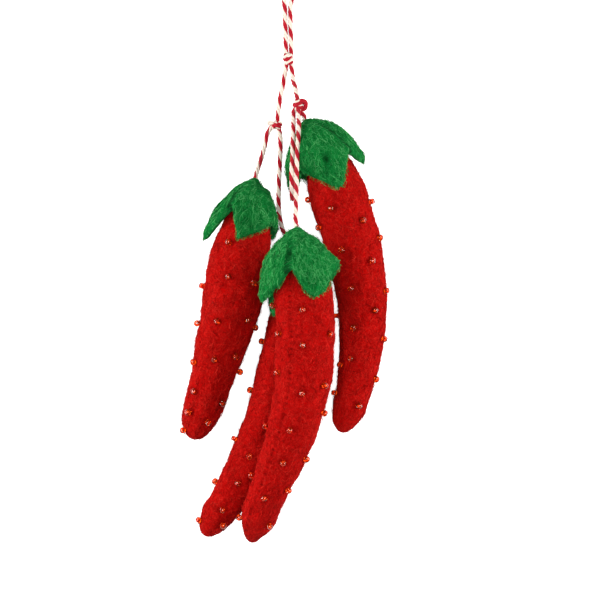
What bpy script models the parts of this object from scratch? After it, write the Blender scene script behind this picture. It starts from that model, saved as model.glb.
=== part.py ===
"""A string of four stuffed felt chillies with sewn glass beads, felt caps and a twine hanger.

It lies on its back on a table, as it rests when it is taken off its hook. +X is to the right and
+Y is towards the hanging loop, seen from above, and +Z is up. The table is at z = 0, and the
origin is on the table under the middle of the chillies.
"""

import math

import bmesh
import bpy
import numpy as np
from mathutils import Matrix, Vector

MM = 0.001

# Felt, beads and twine, in millimetres
FELT_THICK = 2.6
TOUCH_GAP = 0.5
BEAD_RADIUS = 1.15
BEAD_HALF_WIDTH = 0.85
BEAD_STANDS = 0.7
BEAD_PROUD = BEAD_RADIUS + BEAD_STANDS
CORNER_POWER = 9.0
TWINE_DIAMETER = 1.8
TWINE_STEP = 4.2

# A chilli's outline: full to TAPER_FROM of its length, then narrowing evenly, with a round tip
TAPER_FROM = 0.40
TAPER_SOFT = 0.04
TAPER_RATE = 0.79
TIP_FROM = 0.905
ARCH_LEAN = 0.9
BODY_RINGS = 23
BODY_SIDES = 18
CAP_GRID = 12

# Each chilli from its crown to its tip. The bow is the sideways bulge of its middle, lift is how
# far the crown lies above its own resting height, and arch is the upward bulge of its middle.
CHILLIES = {
    "left": dict(
        crown=(-11.55, 51.57), tip=(-33.65, -39.03), radius=11.1, bow=2.4, skew=0.25, pinch=0.0,
        head=29.0, head_power=1.6, lift=1.0, arch=0.0,
    ),
    "back": dict(
        crown=(6.05, 26.02), tip=(-29.25, -73.93), radius=10.4, bow=8.7, skew=-0.05, pinch=0.0,
        head=27.0, head_power=1.6, lift=0.1, arch=0.0,
    ),
    "front": dict(
        crown=(5.05, 32.97), tip=(-12.09, -75.98), radius=10.5, bow=9.4, skew=-0.17, pinch=-0.6,
        head=22.0, head_power=1.7, lift=25.5, arch=9.4,
    ),
    "right": dict(
        crown=(12.95, 72.57), tip=(20.31, -36.68), radius=10.3, bow=10.4, skew=0.42, pinch=-0.3,
        head=25.0, head_power=1.65, lift=2.0, arch=0.0,
    ),
}

# The beads on the shown side: how far along each is from the crown, and its angle from straight
# up towards the right. Underneath they run in plain lengthwise columns, UNDER_PITCH apart.
BEADS = {
    "left": (
        (16.3, 50), (20.3, -30), (22.3, -90), (33.3, -16), (33.3, 34), (38.3, -90), (46.3, 42),
        (49.3, -18), (49.3, 80), (52.3, -90), (60.3, 40), (63.3, -6), (65.3, 88), (66.3, -64),
        (76.3, -34), (77.3, 52), (84.3, -38), (85.3, 30), (91.3, -60),
    ),
    "back": (
        (32, -90), (51, -88), (72, -88), (74, -8), (85, -2), (90, -90), (96, 2), (101, 36),
        (105, -70),
    ),
    "front": (
        (20.4, 52), (24.4, -88), (26.4, -2), (35.4, -60), (36.4, 50), (39.4, -4), (51.4, -62),
        (53.4, 52), (57.4, 2), (64.4, 76), (71.4, -4), (75.4, -88), (81.4, 72), (83.4, 6),
        (93.4, 54), (95.4, -88), (97.4, -6), (108.4, 44), (111.4, -82),
    ),
    "right": (
        (22.4, -90), (28.4, -22), (30.4, 90), (33.4, -70), (35.4, 32), (43.4, -24), (43.4, 70),
        (49.4, 32), (58.4, -20), (61.4, 70), (67.4, 28), (69.4, -90), (73.4, -22), (77.4, 72),
        (85.4, -24), (88.4, -60), (91.4, 72), (99.4, -68), (101.4, 30),
    ),
}
UNDER_ANGLES = (134.0, 180.0, 226.0)
UNDER_FROM = 28.0
UNDER_STAGGER = 6.6
UNDER_PITCH = 13.4

# Each cap is a square of felt over a crown. Its four corners hang as leaves and the middles of its
# four edges stand out as ridges. rim lists its eight places, a corner and then the next ridge by
# turns, and half lists the places halfway to them from the middle.
CAPS = {
    "left": dict(
        side=40.0, middle=(-10.65, 54.57, 13.0),
        rim=(
            (-16.85, 31.67, 26.5), (-5.15, 39.27, 18.3), (-4.35, 31.87, 6.7), (-5.35, 39.57, 3.8),
            (-14.55, 29.17, 0.8), (-24.25, 44.27, 5.8), (-30.05, 31.37, 14.7), (-19.05, 44.87, 24.9),
        ),
        half=(
            (-13.15, 44.67, 24.9), (-7.85, 47.47, 16.4), (-6.45, 43.57, 8.9), (-7.75, 47.17, 6.9),
            (-12.45, 42.87, 2.8), (-16.75, 50.27, 8.4), (-20.65, 45.57, 16.9), (-15.25, 49.87, 21.9),
        ),
    ),
    "back": dict(
        side=37.0, middle=(6.05, 28.67, 12.3),
        rim=(
            (-3.85, 4.17, 21.3), (5.85, 12.77, 22.5), (13.95, 2.07, 21.3), (15.95, 12.17, 12.3),
            (13.95, 2.07, 3.3), (5.85, 12.77, 2.2), (-3.85, 4.17, 3.3), (-4.25, 13.47, 12.3),
        ),
        half=(
            (0.15, 18.37, 18.3), (6.15, 21.97, 19.0), (12.05, 17.97, 18.3), (12.85, 21.97, 12.3),
            (12.05, 17.97, 6.4), (6.15, 21.97, 5.6), (0.15, 18.27, 6.4), (-0.55, 21.97, 12.3),
        ),
    ),
    "front": dict(
        side=42.0, middle=(4.65, 36.67, 38.1),
        rim=(
            (11.35, 9.87, 47.7), (19.85, 24.17, 39.6), (14.25, 14.37, 24.0), (5.55, 24.87, 21.9),
            (-0.55, 14.77, 24.1), (-6.25, 24.87, 28.0), (-8.85, 8.67, 36.8), (1.65, 21.57, 50.1),
        ),
        half=(
            (8.15, 25.17, 47.9), (12.05, 30.57, 39.6), (10.95, 24.87, 28.8), (4.85, 29.87, 28.6),
            (-0.55, 24.87, 28.0), (-1.35, 31.47, 33.9), (-3.55, 25.17, 42.0), (3.05, 29.87, 47.1),
        ),
    ),
    "right": dict(
        side=42.0, middle=(7.35, 75.57, 12.1),
        rim=(
            (21.25, 49.67, 25.8), (23.35, 64.37, 23.4), (29.75, 59.67, 14.6), (23.95, 68.37, 5.2),
            (12.05, 51.47, 1.7), (0.95, 58.67, 8.0), (3.65, 46.47, 8.7), (6.15, 57.57, 20.9),
        ),
        half=(
            (13.55, 64.77, 25.5), (15.65, 70.97, 22.6), (19.95, 71.57, 15.8), (16.05, 73.67, 9.1),
            (9.95, 66.97, 3.6), (3.75, 66.57, 9.1), (3.05, 61.57, 14.0), (6.45, 66.57, 20.6),
        ),
    ),
}

# Knots: where each lies, and its radius across and along
KNOTS = {
    "knot_top": dict(place=(1.41, 98.62, 2.1), across=1.9, along=2.4),
    "knot_left": dict(place=(-2.69, 74.52, 2.1), across=1.8, along=2.0),
    "knot_right": dict(place=(4.91, 81.72, 11.0), across=2.0, along=2.3),
}

# Twine routes, point by point, in millimetres
ROUTES = {
    "twine_loop": (
        (0.51, 101.62, 1.0), (0.41, 106.02, 0.96), (0.21, 112.02, 0.96), (0.01, 118.02, 0.96),
        (-0.89, 123.02, 0.96), (-2.09, 127.52, 0.96), (-1.59, 132.02, 0.96), (1.51, 134.22, 0.96),
        (4.61, 132.02, 0.96), (5.11, 127.52, 0.96), (3.51, 123.02, 0.96), (2.21, 118.02, 0.96),
        (2.11, 112.02, 0.96), (2.31, 106.02, 0.96), (2.41, 101.62, 1.0),
    ),
    "twine_left_rise": (
        (0.51, 95.82, 1.0), (-0.49, 89.52, 0.96), (-1.79, 83.22, 0.96), (-2.49, 77.22, 1.0),
    ),
    "twine_left_drop": (
        (-4.99, 73.62, 1.2), (-6.39, 71.02, 1.0), (-7.09, 67.52, 1.3), (-8.09, 63.52, 3.2),
        (-9.39, 59.52, 7.2), (-10.15, 56.87, 10.9),
    ),
    "twine_right_rise": (
        (2.51, 95.82, 1.2), (2.91, 92.02, 2.4), (3.81, 88.02, 6.0), (4.51, 84.62, 9.2),
    ),
    "twine_right_drop": (
        (6.3, 78.72, 11.0), (7.05, 77.47, 11.6),
    ),
    "twine_back": (
        (-1.79, 71.92, 1.2), (-1.49, 68.02, 0.96), (-1.69, 62.02, 0.96), (-1.99, 56.02, 0.96),
        (-2.19, 50.02, 0.96), (-2.09, 44.02, 1.6), (-1.39, 39.02, 4.6), (-0.25, 35.57, 8.0),
        (1.75, 32.97, 10.6), (3.95, 31.37, 11.9),
    ),
    "twine_front": (
        (5.05, 78.72, 13.2), (5.15, 74.02, 18.4), (4.95, 69.97, 22.4), (4.7, 65.97, 24.1),
        (4.5, 62.02, 24.9), (4.35, 57.47, 26.3), (4.3, 51.97, 28.7), (4.11, 45.47, 33.0), (4.01, 39.07, 37.4),
    ),
    "twine_tail": (
        (3.25, 78.87, 11.9), (3.2, 74.02, 15.9), (3.05, 69.97, 18.6), (2.95, 65.97, 20.9), (2.9, 62.02, 21.9),
        (2.61, 57.97, 23.2), (2.61, 53.97, 23.2), (2.65, 50.37, 21.4), (2.71, 47.17, 19.0),
    ),
}

# Edges that turn by more than this many degrees are shaded as edges
CREASE = 38.0

COLOURS = {
    "chilli": (0.42, 0.010, 0.006),
    "cap": (0.012, 0.20, 0.038),
    "twine": (0.62, 0.18, 0.16),
}


def smooth(x):
    """Ease from 0 to 1 as x goes from 0 to 1."""
    x = np.clip(x, 0.0, 1.0)
    return x * x * (3.0 - 2.0 * x)


def taper(t):
    """Share of the full radius at t, before the two ends are rounded."""
    past = t - TAPER_FROM
    return 1.0 - TAPER_RATE * 0.5 * (np.sqrt(past * past + TAPER_SOFT**2) + past)


def centre(chilli, t):
    """Points on a chilli's centre line: a straight line from crown to tip, bowed and arched."""
    crown = np.array(chilli["crown"])
    run = np.array(chilli["tip"]) - crown
    side = np.array((-run[1], run[0])) / np.hypot(*run)
    bulge = 4.0 * t * (1.0 - t)
    off = 2.0 * t - 1.0
    bow = chilli["bow"] * bulge * (1.0 + chilli["skew"] * off + chilli["pinch"] * off * off)
    flat = crown + np.multiply.outer(t, run) + np.multiply.outer(bow, side)
    rest = chilli["radius"] * taper(t) + BEAD_PROUD
    arch = chilli["arch"] * bulge * (1.0 + ARCH_LEAN * off)
    height = rest + chilli["lift"] * (1.0 - t) + arch
    return np.concatenate((flat, height[..., None]), axis=-1)


def frame(chilli, t):
    """Unit vectors at t: along the chilli, straight up from it, and across it to the right."""
    step = 0.004
    along = centre(chilli, t + step) - centre(chilli, t - step)
    along /= np.linalg.norm(along, axis=-1, keepdims=True)
    up = np.array((0.0, 0.0, 1.0)) - along * along[..., 2:3]
    up /= np.linalg.norm(up, axis=-1, keepdims=True)
    return along, up, np.cross(up, along)


def length(chilli):
    """Length of a chilli's centre line."""
    points = centre(chilli, np.linspace(0.0, 1.0, 201))
    return np.linalg.norm(np.diff(points, axis=0), axis=1).sum()


def body_radius(chilli, t):
    """Radius at t, with a domed crown and a round tip."""
    depth = np.clip(t * length(chilli) / chilli["head"], 0.0, 1.0)
    power = chilli["head_power"]
    dome = (1.0 - (1.0 - depth) ** power) ** (1.0 / power)
    past = np.clip((t - TIP_FROM) / (1.0 - TIP_FROM), 0.0, 1.0)
    return chilli["radius"] * taper(t) * dome * np.sqrt(1.0 - past * past)


def on_skin(chilli, t, angle, above):
    """A point above a chilli's skin at t and angle, and the way out from the skin there."""
    t = np.asarray(t, dtype=float)
    _, up, right = frame(chilli, t)
    out = up * np.cos(angle) + right * np.sin(angle)
    return centre(chilli, t) + out * (body_radius(chilli, t) + above), out


def clear_of_skin(chilli, place):
    """Points of felt, moved out from a chilli's centre line, and up, until its skin is clear."""
    whole = length(chilli)
    t = np.linspace(0.0, 0.6, 241)
    apart = np.linalg.norm(place[:, None] - centre(chilli, t), axis=-1)
    nearest = t[np.argmin(apart, axis=1)]
    along, _, _ = frame(chilli, nearest)
    down = nearest * whole + ((place - centre(chilli, nearest)) * along).sum(axis=-1)
    t = np.maximum(down, 0.0) / whole
    near = np.clip(t + np.array((-1.5, 0.0, 1.5))[:, None] / whole, 0.0, 1.0)
    skin = body_radius(chilli, near).max(axis=0) + FELT_THICK / 2.0 + TOUCH_GAP
    skin = skin * smooth((down + 2.0) / 3.0)
    along, _, _ = frame(chilli, t)
    away = place - centre(chilli, t)
    away -= along * (away * along).sum(axis=-1)[..., None]
    reach = np.maximum(np.linalg.norm(away, axis=-1), 0.001)
    place = place + away * (np.maximum(skin / reach, 1.0) - 1.0)[..., None]
    place[..., 2] = np.maximum(place[..., 2], FELT_THICK / 2.0 + 0.05)
    return place


def drape(name, felt_x, felt_y):
    """Where a point of a cap's flat felt square lies once it hangs over its crown.

    The square's corners are rounded first. Each quarter is then a leaf: a patch that passes
    through nine points, which are the middle, two ridges and the corner, the three places halfway
    to them, and the middles of its two straight cut edges. Along each side of a patch, three
    weights of second degree sum to one. Last, the felt is moved out to the chilli's skin.
    """
    cap = CAPS[name]
    top = np.maximum(np.maximum(np.abs(felt_x), np.abs(felt_y)), 0.001)
    low = np.minimum(np.abs(felt_x), np.abs(felt_y))
    shrink = (1.0 + (low / top) ** CORNER_POWER) ** (-1.0 / CORNER_POWER) * 2.0 / cap["side"]
    to_right, to_top = felt_x >= 0.0, felt_y >= 0.0
    leaf = np.select([to_right & to_top, to_top, ~to_right], [0, 1, 2], 3)
    turned = leaf % 2 == 1
    first = np.where(turned, np.abs(felt_y), np.abs(felt_x)) * shrink
    second = np.where(turned, np.abs(felt_x), np.abs(felt_y)) * shrink
    rim, half, middle = (np.array(cap[key]) for key in ("rim", "half", "middle"))
    before, corner, after = (2 * leaf - 1) % 8, 2 * leaf, 2 * leaf + 1
    (a0, a1, a2), (b0, b1, b2) = (
        np.stack(((1.0 - s) * (1.0 - 2.0 * s), 4.0 * s * (1.0 - s), s * (2.0 * s - 1.0)))[..., None]
        for s in (first, second)
    )
    place = (
        a0 * b0 * middle + a1 * b0 * half[before] + a2 * b0 * rim[before]
        + a0 * b1 * half[after] + a0 * b2 * rim[after] + a1 * b1 * half[corner]
        + a2 * b1 * (rim[before] + rim[corner]) / 2.0
        + a1 * b2 * (rim[after] + rim[corner]) / 2.0 + a2 * b2 * rim[corner]
    )
    return clear_of_skin(CHILLIES[name], place)


def material(name, colour, roughness):
    """A plain Principled material."""
    made = bpy.data.materials.new(name)
    made.use_nodes = True
    shader = made.node_tree.nodes["Principled BSDF"]
    shader.inputs["Base Color"].default_value = (*colour, 1.0)
    shader.inputs["Roughness"].default_value = roughness
    return made


def tube(name, points, radii, sides, group):
    """A tube curve along points, with its own radius at each of them and filled ends."""
    curve = bpy.data.curves.new(name, "CURVE")
    curve.dimensions = "3D"
    curve.bevel_depth = 1.0 * MM
    curve.bevel_resolution = (sides - 4) // 2
    curve.use_fill_caps = True
    spline = curve.splines.new("POLY")
    spline.points.add(len(points) - 1)
    for spot, place, radius in zip(spline.points, points, radii):
        spot.co = (*(Vector(place) * MM), 1.0)
        spot.radius = radius
    made = bpy.data.objects.new(name, curve)
    group.objects.link(made)
    return made


def to_mesh(curve_object, group):
    """Turn a curve object into a mesh object of the same name, with its ends welded on."""
    name = curve_object.name
    depsgraph = bpy.context.evaluated_depsgraph_get()
    mesh = bpy.data.meshes.new_from_object(curve_object.evaluated_get(depsgraph))
    place = curve_object.matrix_world.copy()
    bpy.data.objects.remove(curve_object)
    work = bmesh.new()
    work.from_mesh(mesh)
    bmesh.ops.remove_doubles(work, verts=work.verts, dist=0.01 * MM)
    work.to_mesh(mesh)
    work.free()
    made = bpy.data.objects.new(name, mesh)
    made.matrix_world = place
    group.objects.link(made)
    return made


def make_body(name, group):
    """The stuffed body: a tube along the bowed centre line, with more rings near its ends."""
    chilli = CHILLIES[name]
    even = np.linspace(0.0, 1.0, BODY_RINGS)
    t = 0.004 + 0.992 * (0.62 * even + 0.38 * smooth(even))
    curve = tube("chilli_" + name, centre(chilli, t), body_radius(chilli, t), BODY_SIDES, group)
    bpy.context.view_layer.update()
    return to_mesh(curve, group)


def bead_spots(name, felt, taken):
    """Where a chilli's beads go, and the ways they stand, clear of caps, neighbours and table."""
    chilli = CHILLIES[name]
    luck = np.random.default_rng(len(name) * 7 + ord(name[0]))
    whole = length(chilli)
    wanted = list(BEADS[name])
    for column, angle in enumerate(UNDER_ANGLES):
        first = UNDER_FROM + UNDER_STAGGER * (column % 2)
        wanted += [(depth, angle) for depth in np.arange(first, whole - 6.0, UNDER_PITCH)]
    others = [other for key, other in CHILLIES.items() if key != name]
    along = np.linspace(0.0, 1.0, 161)
    spots = []
    for depth, angle in wanted:
        depth += luck.normal(0.0, 0.3)
        angle += luck.normal(0.0, 1.0)
        place, out = on_skin(chilli, depth / whole, math.radians(angle), BEAD_STANDS)
        bodies = min(
            (np.linalg.norm(centre(other, along) - place, axis=1) - body_radius(other, along)).min()
            for other in others
        )
        beads = min([np.linalg.norm(place - bead) for bead in taken] + [99.0])
        cloth = np.linalg.norm(felt - place, axis=1).min()
        clear = bodies > BEAD_RADIUS + TOUCH_GAP and beads > 2.0 * BEAD_RADIUS + TOUCH_GAP
        if clear and cloth > BEAD_RADIUS + FELT_THICK and place[2] > 0.98 * BEAD_RADIUS:
            spots.append((place, out))
            taken.append(place)
    return spots


def add_beads(body, spots, group):
    """Fuse the beads to a body: each a short barrel on its side, half a turn of thread from it."""
    barrel = bpy.data.meshes.new("bead")
    work = bmesh.new()
    bmesh.ops.create_uvsphere(work, u_segments=6, v_segments=3, radius=1.0)
    bmesh.ops.scale(work, verts=work.verts, vec=(1.12, 1.12, 1.0))
    work.to_mesh(barrel)
    work.free()
    size = Matrix.Diagonal((BEAD_RADIUS * MM, BEAD_RADIUS * MM, BEAD_HALF_WIDTH * MM, 1.0))
    for place, out in spots:
        bead = bpy.data.objects.new("bead", barrel)
        turn = Vector(out).to_track_quat("X", "Z").to_matrix().to_4x4()
        bead.matrix_world = Matrix.Translation(Vector(place) * MM) @ turn @ size
        group.objects.link(bead)
    fuse = body.modifiers.new("beads", "BOOLEAN")
    fuse.operation = "UNION"
    fuse.operand_type = "COLLECTION"
    fuse.collection = group
    fuse.solver = "EXACT"
    bpy.context.view_layer.update()
    depsgraph = bpy.context.evaluated_depsgraph_get()
    joined = bpy.data.meshes.new_from_object(body.evaluated_get(depsgraph))
    body.modifiers.clear()
    body.data = joined
    for bead in list(group.objects):
        bpy.data.objects.remove(bead)


def make_cap(name, group):
    """A felt cap: a flat grid moved to where it hangs, both faces split alike, then thickened."""
    side = CAPS[name]["side"]
    mesh = bpy.data.meshes.new("cap_" + name)
    work = bmesh.new()
    bmesh.ops.create_grid(work, x_segments=CAP_GRID, y_segments=CAP_GRID, size=side / 2.0)
    flat = np.array([corner.co for corner in work.verts])
    for corner, place in zip(work.verts, drape(name, flat[:, 0], flat[:, 1])):
        corner.co = Vector(place) * MM
    bmesh.ops.recalc_face_normals(work, faces=work.faces)
    work.to_mesh(mesh)
    work.free()
    made = bpy.data.objects.new("cap_" + name, mesh)
    group.objects.link(made)
    made.modifiers.new("split", "TRIANGULATE")
    thick = made.modifiers.new("thick", "SOLIDIFY")
    thick.thickness = FELT_THICK * MM
    thick.offset = 0.0
    return made


def felt_points(name):
    """Points all over a cap's felt, for keeping beads off it."""
    half = CAPS[name]["side"] / 2.0
    line = np.linspace(-half, half, 17)
    felt_x, felt_y = np.meshgrid(line, line)
    return drape(name, felt_x.ravel(), felt_y.ravel())


def smooth_route(points):
    """Points TWINE_STEP apart on a smooth curve through a route's own points."""
    points = np.array(points, dtype=float)
    padded = np.vstack((2 * points[0] - points[1], points, 2 * points[-1] - points[-2]))
    before, start, end, after = padded[:-3], padded[1:-2], padded[2:-1], padded[3:]
    share = np.linspace(0.0, 1.0, 24, endpoint=False)[None, :, None]
    before, start, end, after = (side[:, None, :] for side in (before, start, end, after))
    curve = 0.5 * (
        2 * start + (end - before) * share
        + (2 * before - 5 * start + 4 * end - after) * share**2
        + (3 * start - before - 3 * end + after) * share**3
    )
    curve = np.vstack((curve.reshape(-1, 3), points[-1:]))
    travelled = np.concatenate(((0.0,), np.cumsum(np.linalg.norm(np.diff(curve, axis=0), axis=1))))
    count = max(2, round(travelled[-1] / TWINE_STEP) + 1)
    even = np.linspace(0.0, travelled[-1], count)
    return np.stack([np.interp(even, travelled, curve[:, axis]) for axis in range(3)], axis=1)


def make_twine(name, group):
    """One stretch of twine."""
    points = smooth_route(ROUTES[name])
    return tube(name, points, np.full(len(points), TWINE_DIAMETER / 2.0), 8, group)


def make_knot(name, group):
    """A pulled-tight knot: an egg with three slanting wraps."""
    knot = KNOTS[name]
    mesh = bpy.data.meshes.new(name)
    work = bmesh.new()
    bmesh.ops.create_icosphere(work, subdivisions=2, radius=1.0)
    for corner in work.verts:
        turn = math.atan2(corner.co.y, corner.co.x)
        wrap = 0.94 + 0.06 * math.cos(3.0 * turn + 4.0 * corner.co.z)
        corner.co = Vector((knot["across"], knot["along"], knot["across"])) * corner.co * wrap * MM
    work.to_mesh(mesh)
    work.free()
    made = bpy.data.objects.new(name, mesh)
    made.location = Vector(knot["place"]) * MM
    group.objects.link(made)
    return made


def finish(made, finishes):
    """Give a piece its material and smooth shading."""
    kind = made.name.split("_")[0].replace("knot", "twine")
    made.data.materials.clear()
    made.data.materials.append(finishes[kind])
    if made.type == "MESH":
        made.data.shade_smooth()
        made.data.set_sharp_from_angle(angle=math.radians(CREASE))


def main():
    for old in list(bpy.data.objects):
        bpy.data.objects.remove(old)
    parts = bpy.data.collections.new("felt_chilli_string")
    bpy.context.scene.collection.children.link(parts)
    beads = bpy.data.collections.new("beads")
    bpy.context.scene.collection.children.link(beads)
    finishes = {kind: material(kind, colour, 0.9) for kind, colour in COLOURS.items()}
    felt = np.vstack([felt_points(name) for name in CAPS])
    made = []
    taken = []
    for name in CHILLIES:
        body = make_body(name, parts)
        add_beads(body, bead_spots(name, felt, taken), beads)
        made.append(body)
    made += [make_cap(name, parts) for name in CAPS]
    made += [make_twine(name, parts) for name in ROUTES]
    made += [make_knot(name, parts) for name in KNOTS]
    for piece in made:
        finish(piece, finishes)
    bpy.data.collections.remove(beads)


main()
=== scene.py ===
# %% [markdown]
# # A string of four felt chillies
# The object is a hanging decoration: four chilli peppers of stuffed red wool felt, sewn all over
# with glass seed beads, each under a square cap of green felt, and tied to red-and-cream baker's
# twine with three knots. It lies on its back on a pale table and the camera looks straight down.
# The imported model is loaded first, because every piece below has to sit where its solids are.

import math
from functools import partial

import bpy
import numpy as np
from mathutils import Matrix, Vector


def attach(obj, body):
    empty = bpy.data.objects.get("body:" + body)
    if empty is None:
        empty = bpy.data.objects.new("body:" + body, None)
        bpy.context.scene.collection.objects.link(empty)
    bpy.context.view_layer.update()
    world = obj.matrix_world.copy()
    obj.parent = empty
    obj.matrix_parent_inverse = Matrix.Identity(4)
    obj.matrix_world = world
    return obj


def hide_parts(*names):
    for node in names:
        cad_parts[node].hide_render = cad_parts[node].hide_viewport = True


MM = 0.001
ABOVE_TABLE = 0.02  # the lowest that a piece reaches, in millimetres
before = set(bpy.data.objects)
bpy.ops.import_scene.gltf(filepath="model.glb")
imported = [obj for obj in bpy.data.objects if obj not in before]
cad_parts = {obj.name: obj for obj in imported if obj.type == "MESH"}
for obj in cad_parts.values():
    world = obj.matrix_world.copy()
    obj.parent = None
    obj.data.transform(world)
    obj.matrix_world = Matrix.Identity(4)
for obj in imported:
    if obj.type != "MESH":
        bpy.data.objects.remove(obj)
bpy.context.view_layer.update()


def in_scene(name, data):
    """A new object for some data, linked into the scene."""
    made = bpy.data.objects.new(name, data)
    bpy.context.scene.collection.objects.link(made)
    return made

# %% [markdown]
# ## The camera
# The photograph was taken from straight in front with a long lens, so parallel lines stay
# parallel. A camera high above the table with a very long lens sees the same way. It could be an
# orthographic camera, but a real lens keeps a trace of depth between the front chilli and the
# table.

# %% Make the camera
FRAME_MM = 216.0  # how wide the picture is, at FOCUS_HEIGHT above the table
FOCUS_HEIGHT = 20.0
VIEW_CENTRE = (5.59, 11.18)
CAMERA_HEIGHT = 2500.0
SENSOR_MM = 36.0
SIGHT_ENDS = 20.0  # in metres

camera_data = bpy.data.cameras.new("camera")
camera_data.sensor_width = SENSOR_MM
camera_data.lens = SENSOR_MM * (CAMERA_HEIGHT - FOCUS_HEIGHT) / FRAME_MM
camera_data.clip_end = SIGHT_ENDS
camera = in_scene("camera", camera_data)
camera.location = [v * MM for v in (*VIEW_CENTRE, CAMERA_HEIGHT)]
bpy.context.scene.camera = camera
print("lens", round(camera_data.lens), "mm")

# %% [markdown]
# ## Meshes from whole arrays
# Thousands of fibres, beads and twisted plies are too many to make one by one. Each kind is worked
# out as one numpy array of points, and one helper turns points and faces into a mesh. The faces
# could be turned outwards by hand, but the sign of the enclosed volume says it without guessing.

# %% Points and faces into a mesh
def unit(vectors):
    """Vectors divided by their own length."""
    return vectors / np.maximum(np.linalg.norm(vectors, axis=-1, keepdims=True), 1e-9)


def facing_out(points, faces):
    """The faces, turned over if the volume they enclose comes out negative."""
    volume = 0.0
    for corners in faces:
        for last in range(2, corners.shape[1]):
            a, b, c = (points[corners[:, number]] for number in (0, last - 1, last))
            volume += np.einsum("ij,ij->i", a, np.cross(b, c)).sum()
    return faces if volume > 0.0 else [corners[:, ::-1] for corners in faces]


def put_mesh(name, points, faces, finish, values=None, uv=None):
    """One smooth mesh object from points in millimetres and lists of equal-sided faces.

    values maps an attribute's name to one number per point, and uv is one pair per point.
    """
    faces = facing_out(points, faces)
    corners = np.concatenate([part.ravel() for part in faces])
    sizes = np.concatenate([np.full(len(part), part.shape[1]) for part in faces])
    mesh = bpy.data.meshes.new(name)
    mesh.vertices.add(len(points))
    mesh.vertices.foreach_set("co", (points * MM).astype(np.float32).ravel())
    mesh.loops.add(len(corners))
    mesh.loops.foreach_set("vertex_index", corners.astype(np.int32))
    mesh.polygons.add(len(sizes))
    mesh.polygons.foreach_set("loop_start", (np.cumsum(sizes) - sizes).astype(np.int32))
    mesh.update(calc_edges=True)
    for key, numbers in (values or {}).items():
        layer = mesh.attributes.new(key, "FLOAT", "POINT")
        layer.data.foreach_set("value", numbers.astype(np.float32))
    if uv is not None:
        layer = mesh.uv_layers.new(name="surface")
        layer.data.foreach_set("uv", uv[corners].astype(np.float32).ravel())
    mesh.shade_smooth()
    mesh.materials.append(finish)
    made = in_scene(name, mesh)
    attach(made, "root")
    print(name, "triangles:", int((sizes - 2).sum()))
    return made

# %% Tubes along paths
def repeated(faces, count, points_each):
    """One shape's faces, repeated for count shapes whose points follow each other."""
    shift = np.arange(count)[:, None, None] * points_each
    return (faces[None] + shift).reshape(-1, faces.shape[1])


def closed_faces(ring_count, sides):
    """Faces over rings of points: quads between neighbours, and a fan over each end.

    The points are the rings, one after another, and then one point for each end.
    """
    side = np.arange(sides)
    after = (side + 1) % sides
    low = np.arange(ring_count - 1)[:, None] * sides
    quads = np.stack((low + side, low + after, low + sides + after, low + sides + side), axis=-1)
    top, pole = (ring_count - 1) * sides, np.full(sides, ring_count * sides)
    fans = (
        np.stack((pole, after, side), axis=-1),
        np.stack((pole + 1, top + side, top + after), axis=-1),
    )
    return quads.reshape(-1, 4), np.concatenate(fans)


def tubes(paths, radii, sides, ups, pointed):
    """Many tubes at once: a ring of points round each path point, square to the path.

    A ring's points are the path point plus the radius times the cosine of an angle across and
    its sine above, where across is square to the path and to ups. Each end is closed by a fan
    to one point: a pointed tube has rings at its inner points only, so it ends in a tip.
    """
    many, count = paths.shape[:2]
    radii = np.broadcast_to(radii, (many, count))
    along = unit(np.gradient(paths, axis=1))
    across = unit(np.cross(np.broadcast_to(ups, paths.shape), along))
    above = np.cross(along, across)
    inner = slice(1, -1) if pointed else slice(None)
    turn = math.tau * np.arange(sides) / sides
    cosine, sine = np.cos(turn)[:, None], np.sin(turn)[:, None]
    way = across[:, inner, None] * cosine + above[:, inner, None] * sine
    rings = paths[:, inner, None] + radii[:, inner, None, None] * way
    points = np.concatenate((rings.reshape(many, -1, 3), paths[:, :1], paths[:, -1:]), axis=1)
    per_tube = points.shape[1]
    faces = [repeated(part, many, per_tube) for part in closed_faces(rings.shape[1], sides)]
    return points.reshape(-1, 3), faces, per_tube


print("faces of a tube with 3 rings and 5 sides:", sum(map(len, closed_faces(3, 5))))

# %% Luck, noise and soft steps
def luck_for(name, step):
    """Random numbers of its own for each chilli and each step, the same on every run."""
    return np.random.default_rng(ord(name[0]) + step)


def waves(points, wavelength, count, seed):
    """Even, gentle noise: a sum of sine waves in random directions, near one wavelength."""
    luck = np.random.default_rng(seed)
    ways = unit(luck.normal(size=(count, 3)))
    pace = math.tau / (wavelength * luck.uniform(0.7, 1.4, count))
    start = luck.uniform(0.0, math.tau, count)
    return np.sin(points @ (ways * pace[:, None]).T + start).sum(axis=-1) / math.sqrt(count / 2.0)


def bell(x, width):
    """One at x = 0 and falling away on both sides: e to the minus square of x over the width."""
    return np.exp(-((x / width) ** 2))


def smooth(x):
    """Ease from 0 to 1 as x goes from 0 to 1: three times its square less twice its cube."""
    x = np.clip(x, 0.0, 1.0)
    return x * x * (3.0 - 2.0 * x)


print("a quarter of the way is eased to", smooth(0.25))

# %% [markdown]
# ## Wool, cotton and glass
# Felt is a mat of curled wool fibres. Its colour is painted lighter on the curls that lie on top,
# as painted light, and darker in low patches between them, as painted shade over a random mottle. A
# photograph pulled over it could show that, but a shader group worked from noise has no edges or
# repeats: thin curls appear where a warped noise passes through its middle value.
# The same group serves the red and the green felt, each with its own colours and curl size.

# %% Helpers for colours and shader nodes
def linear(red, green, blue):
    """A colour given as display values from 0 to 255, as the shader's linear numbers."""
    shown = np.array((red, green, blue)) / 255.0
    return (*np.where(shown < 0.04045, shown / 12.92, ((shown + 0.055) / 1.055) ** 2.4), 1.0)


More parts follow.
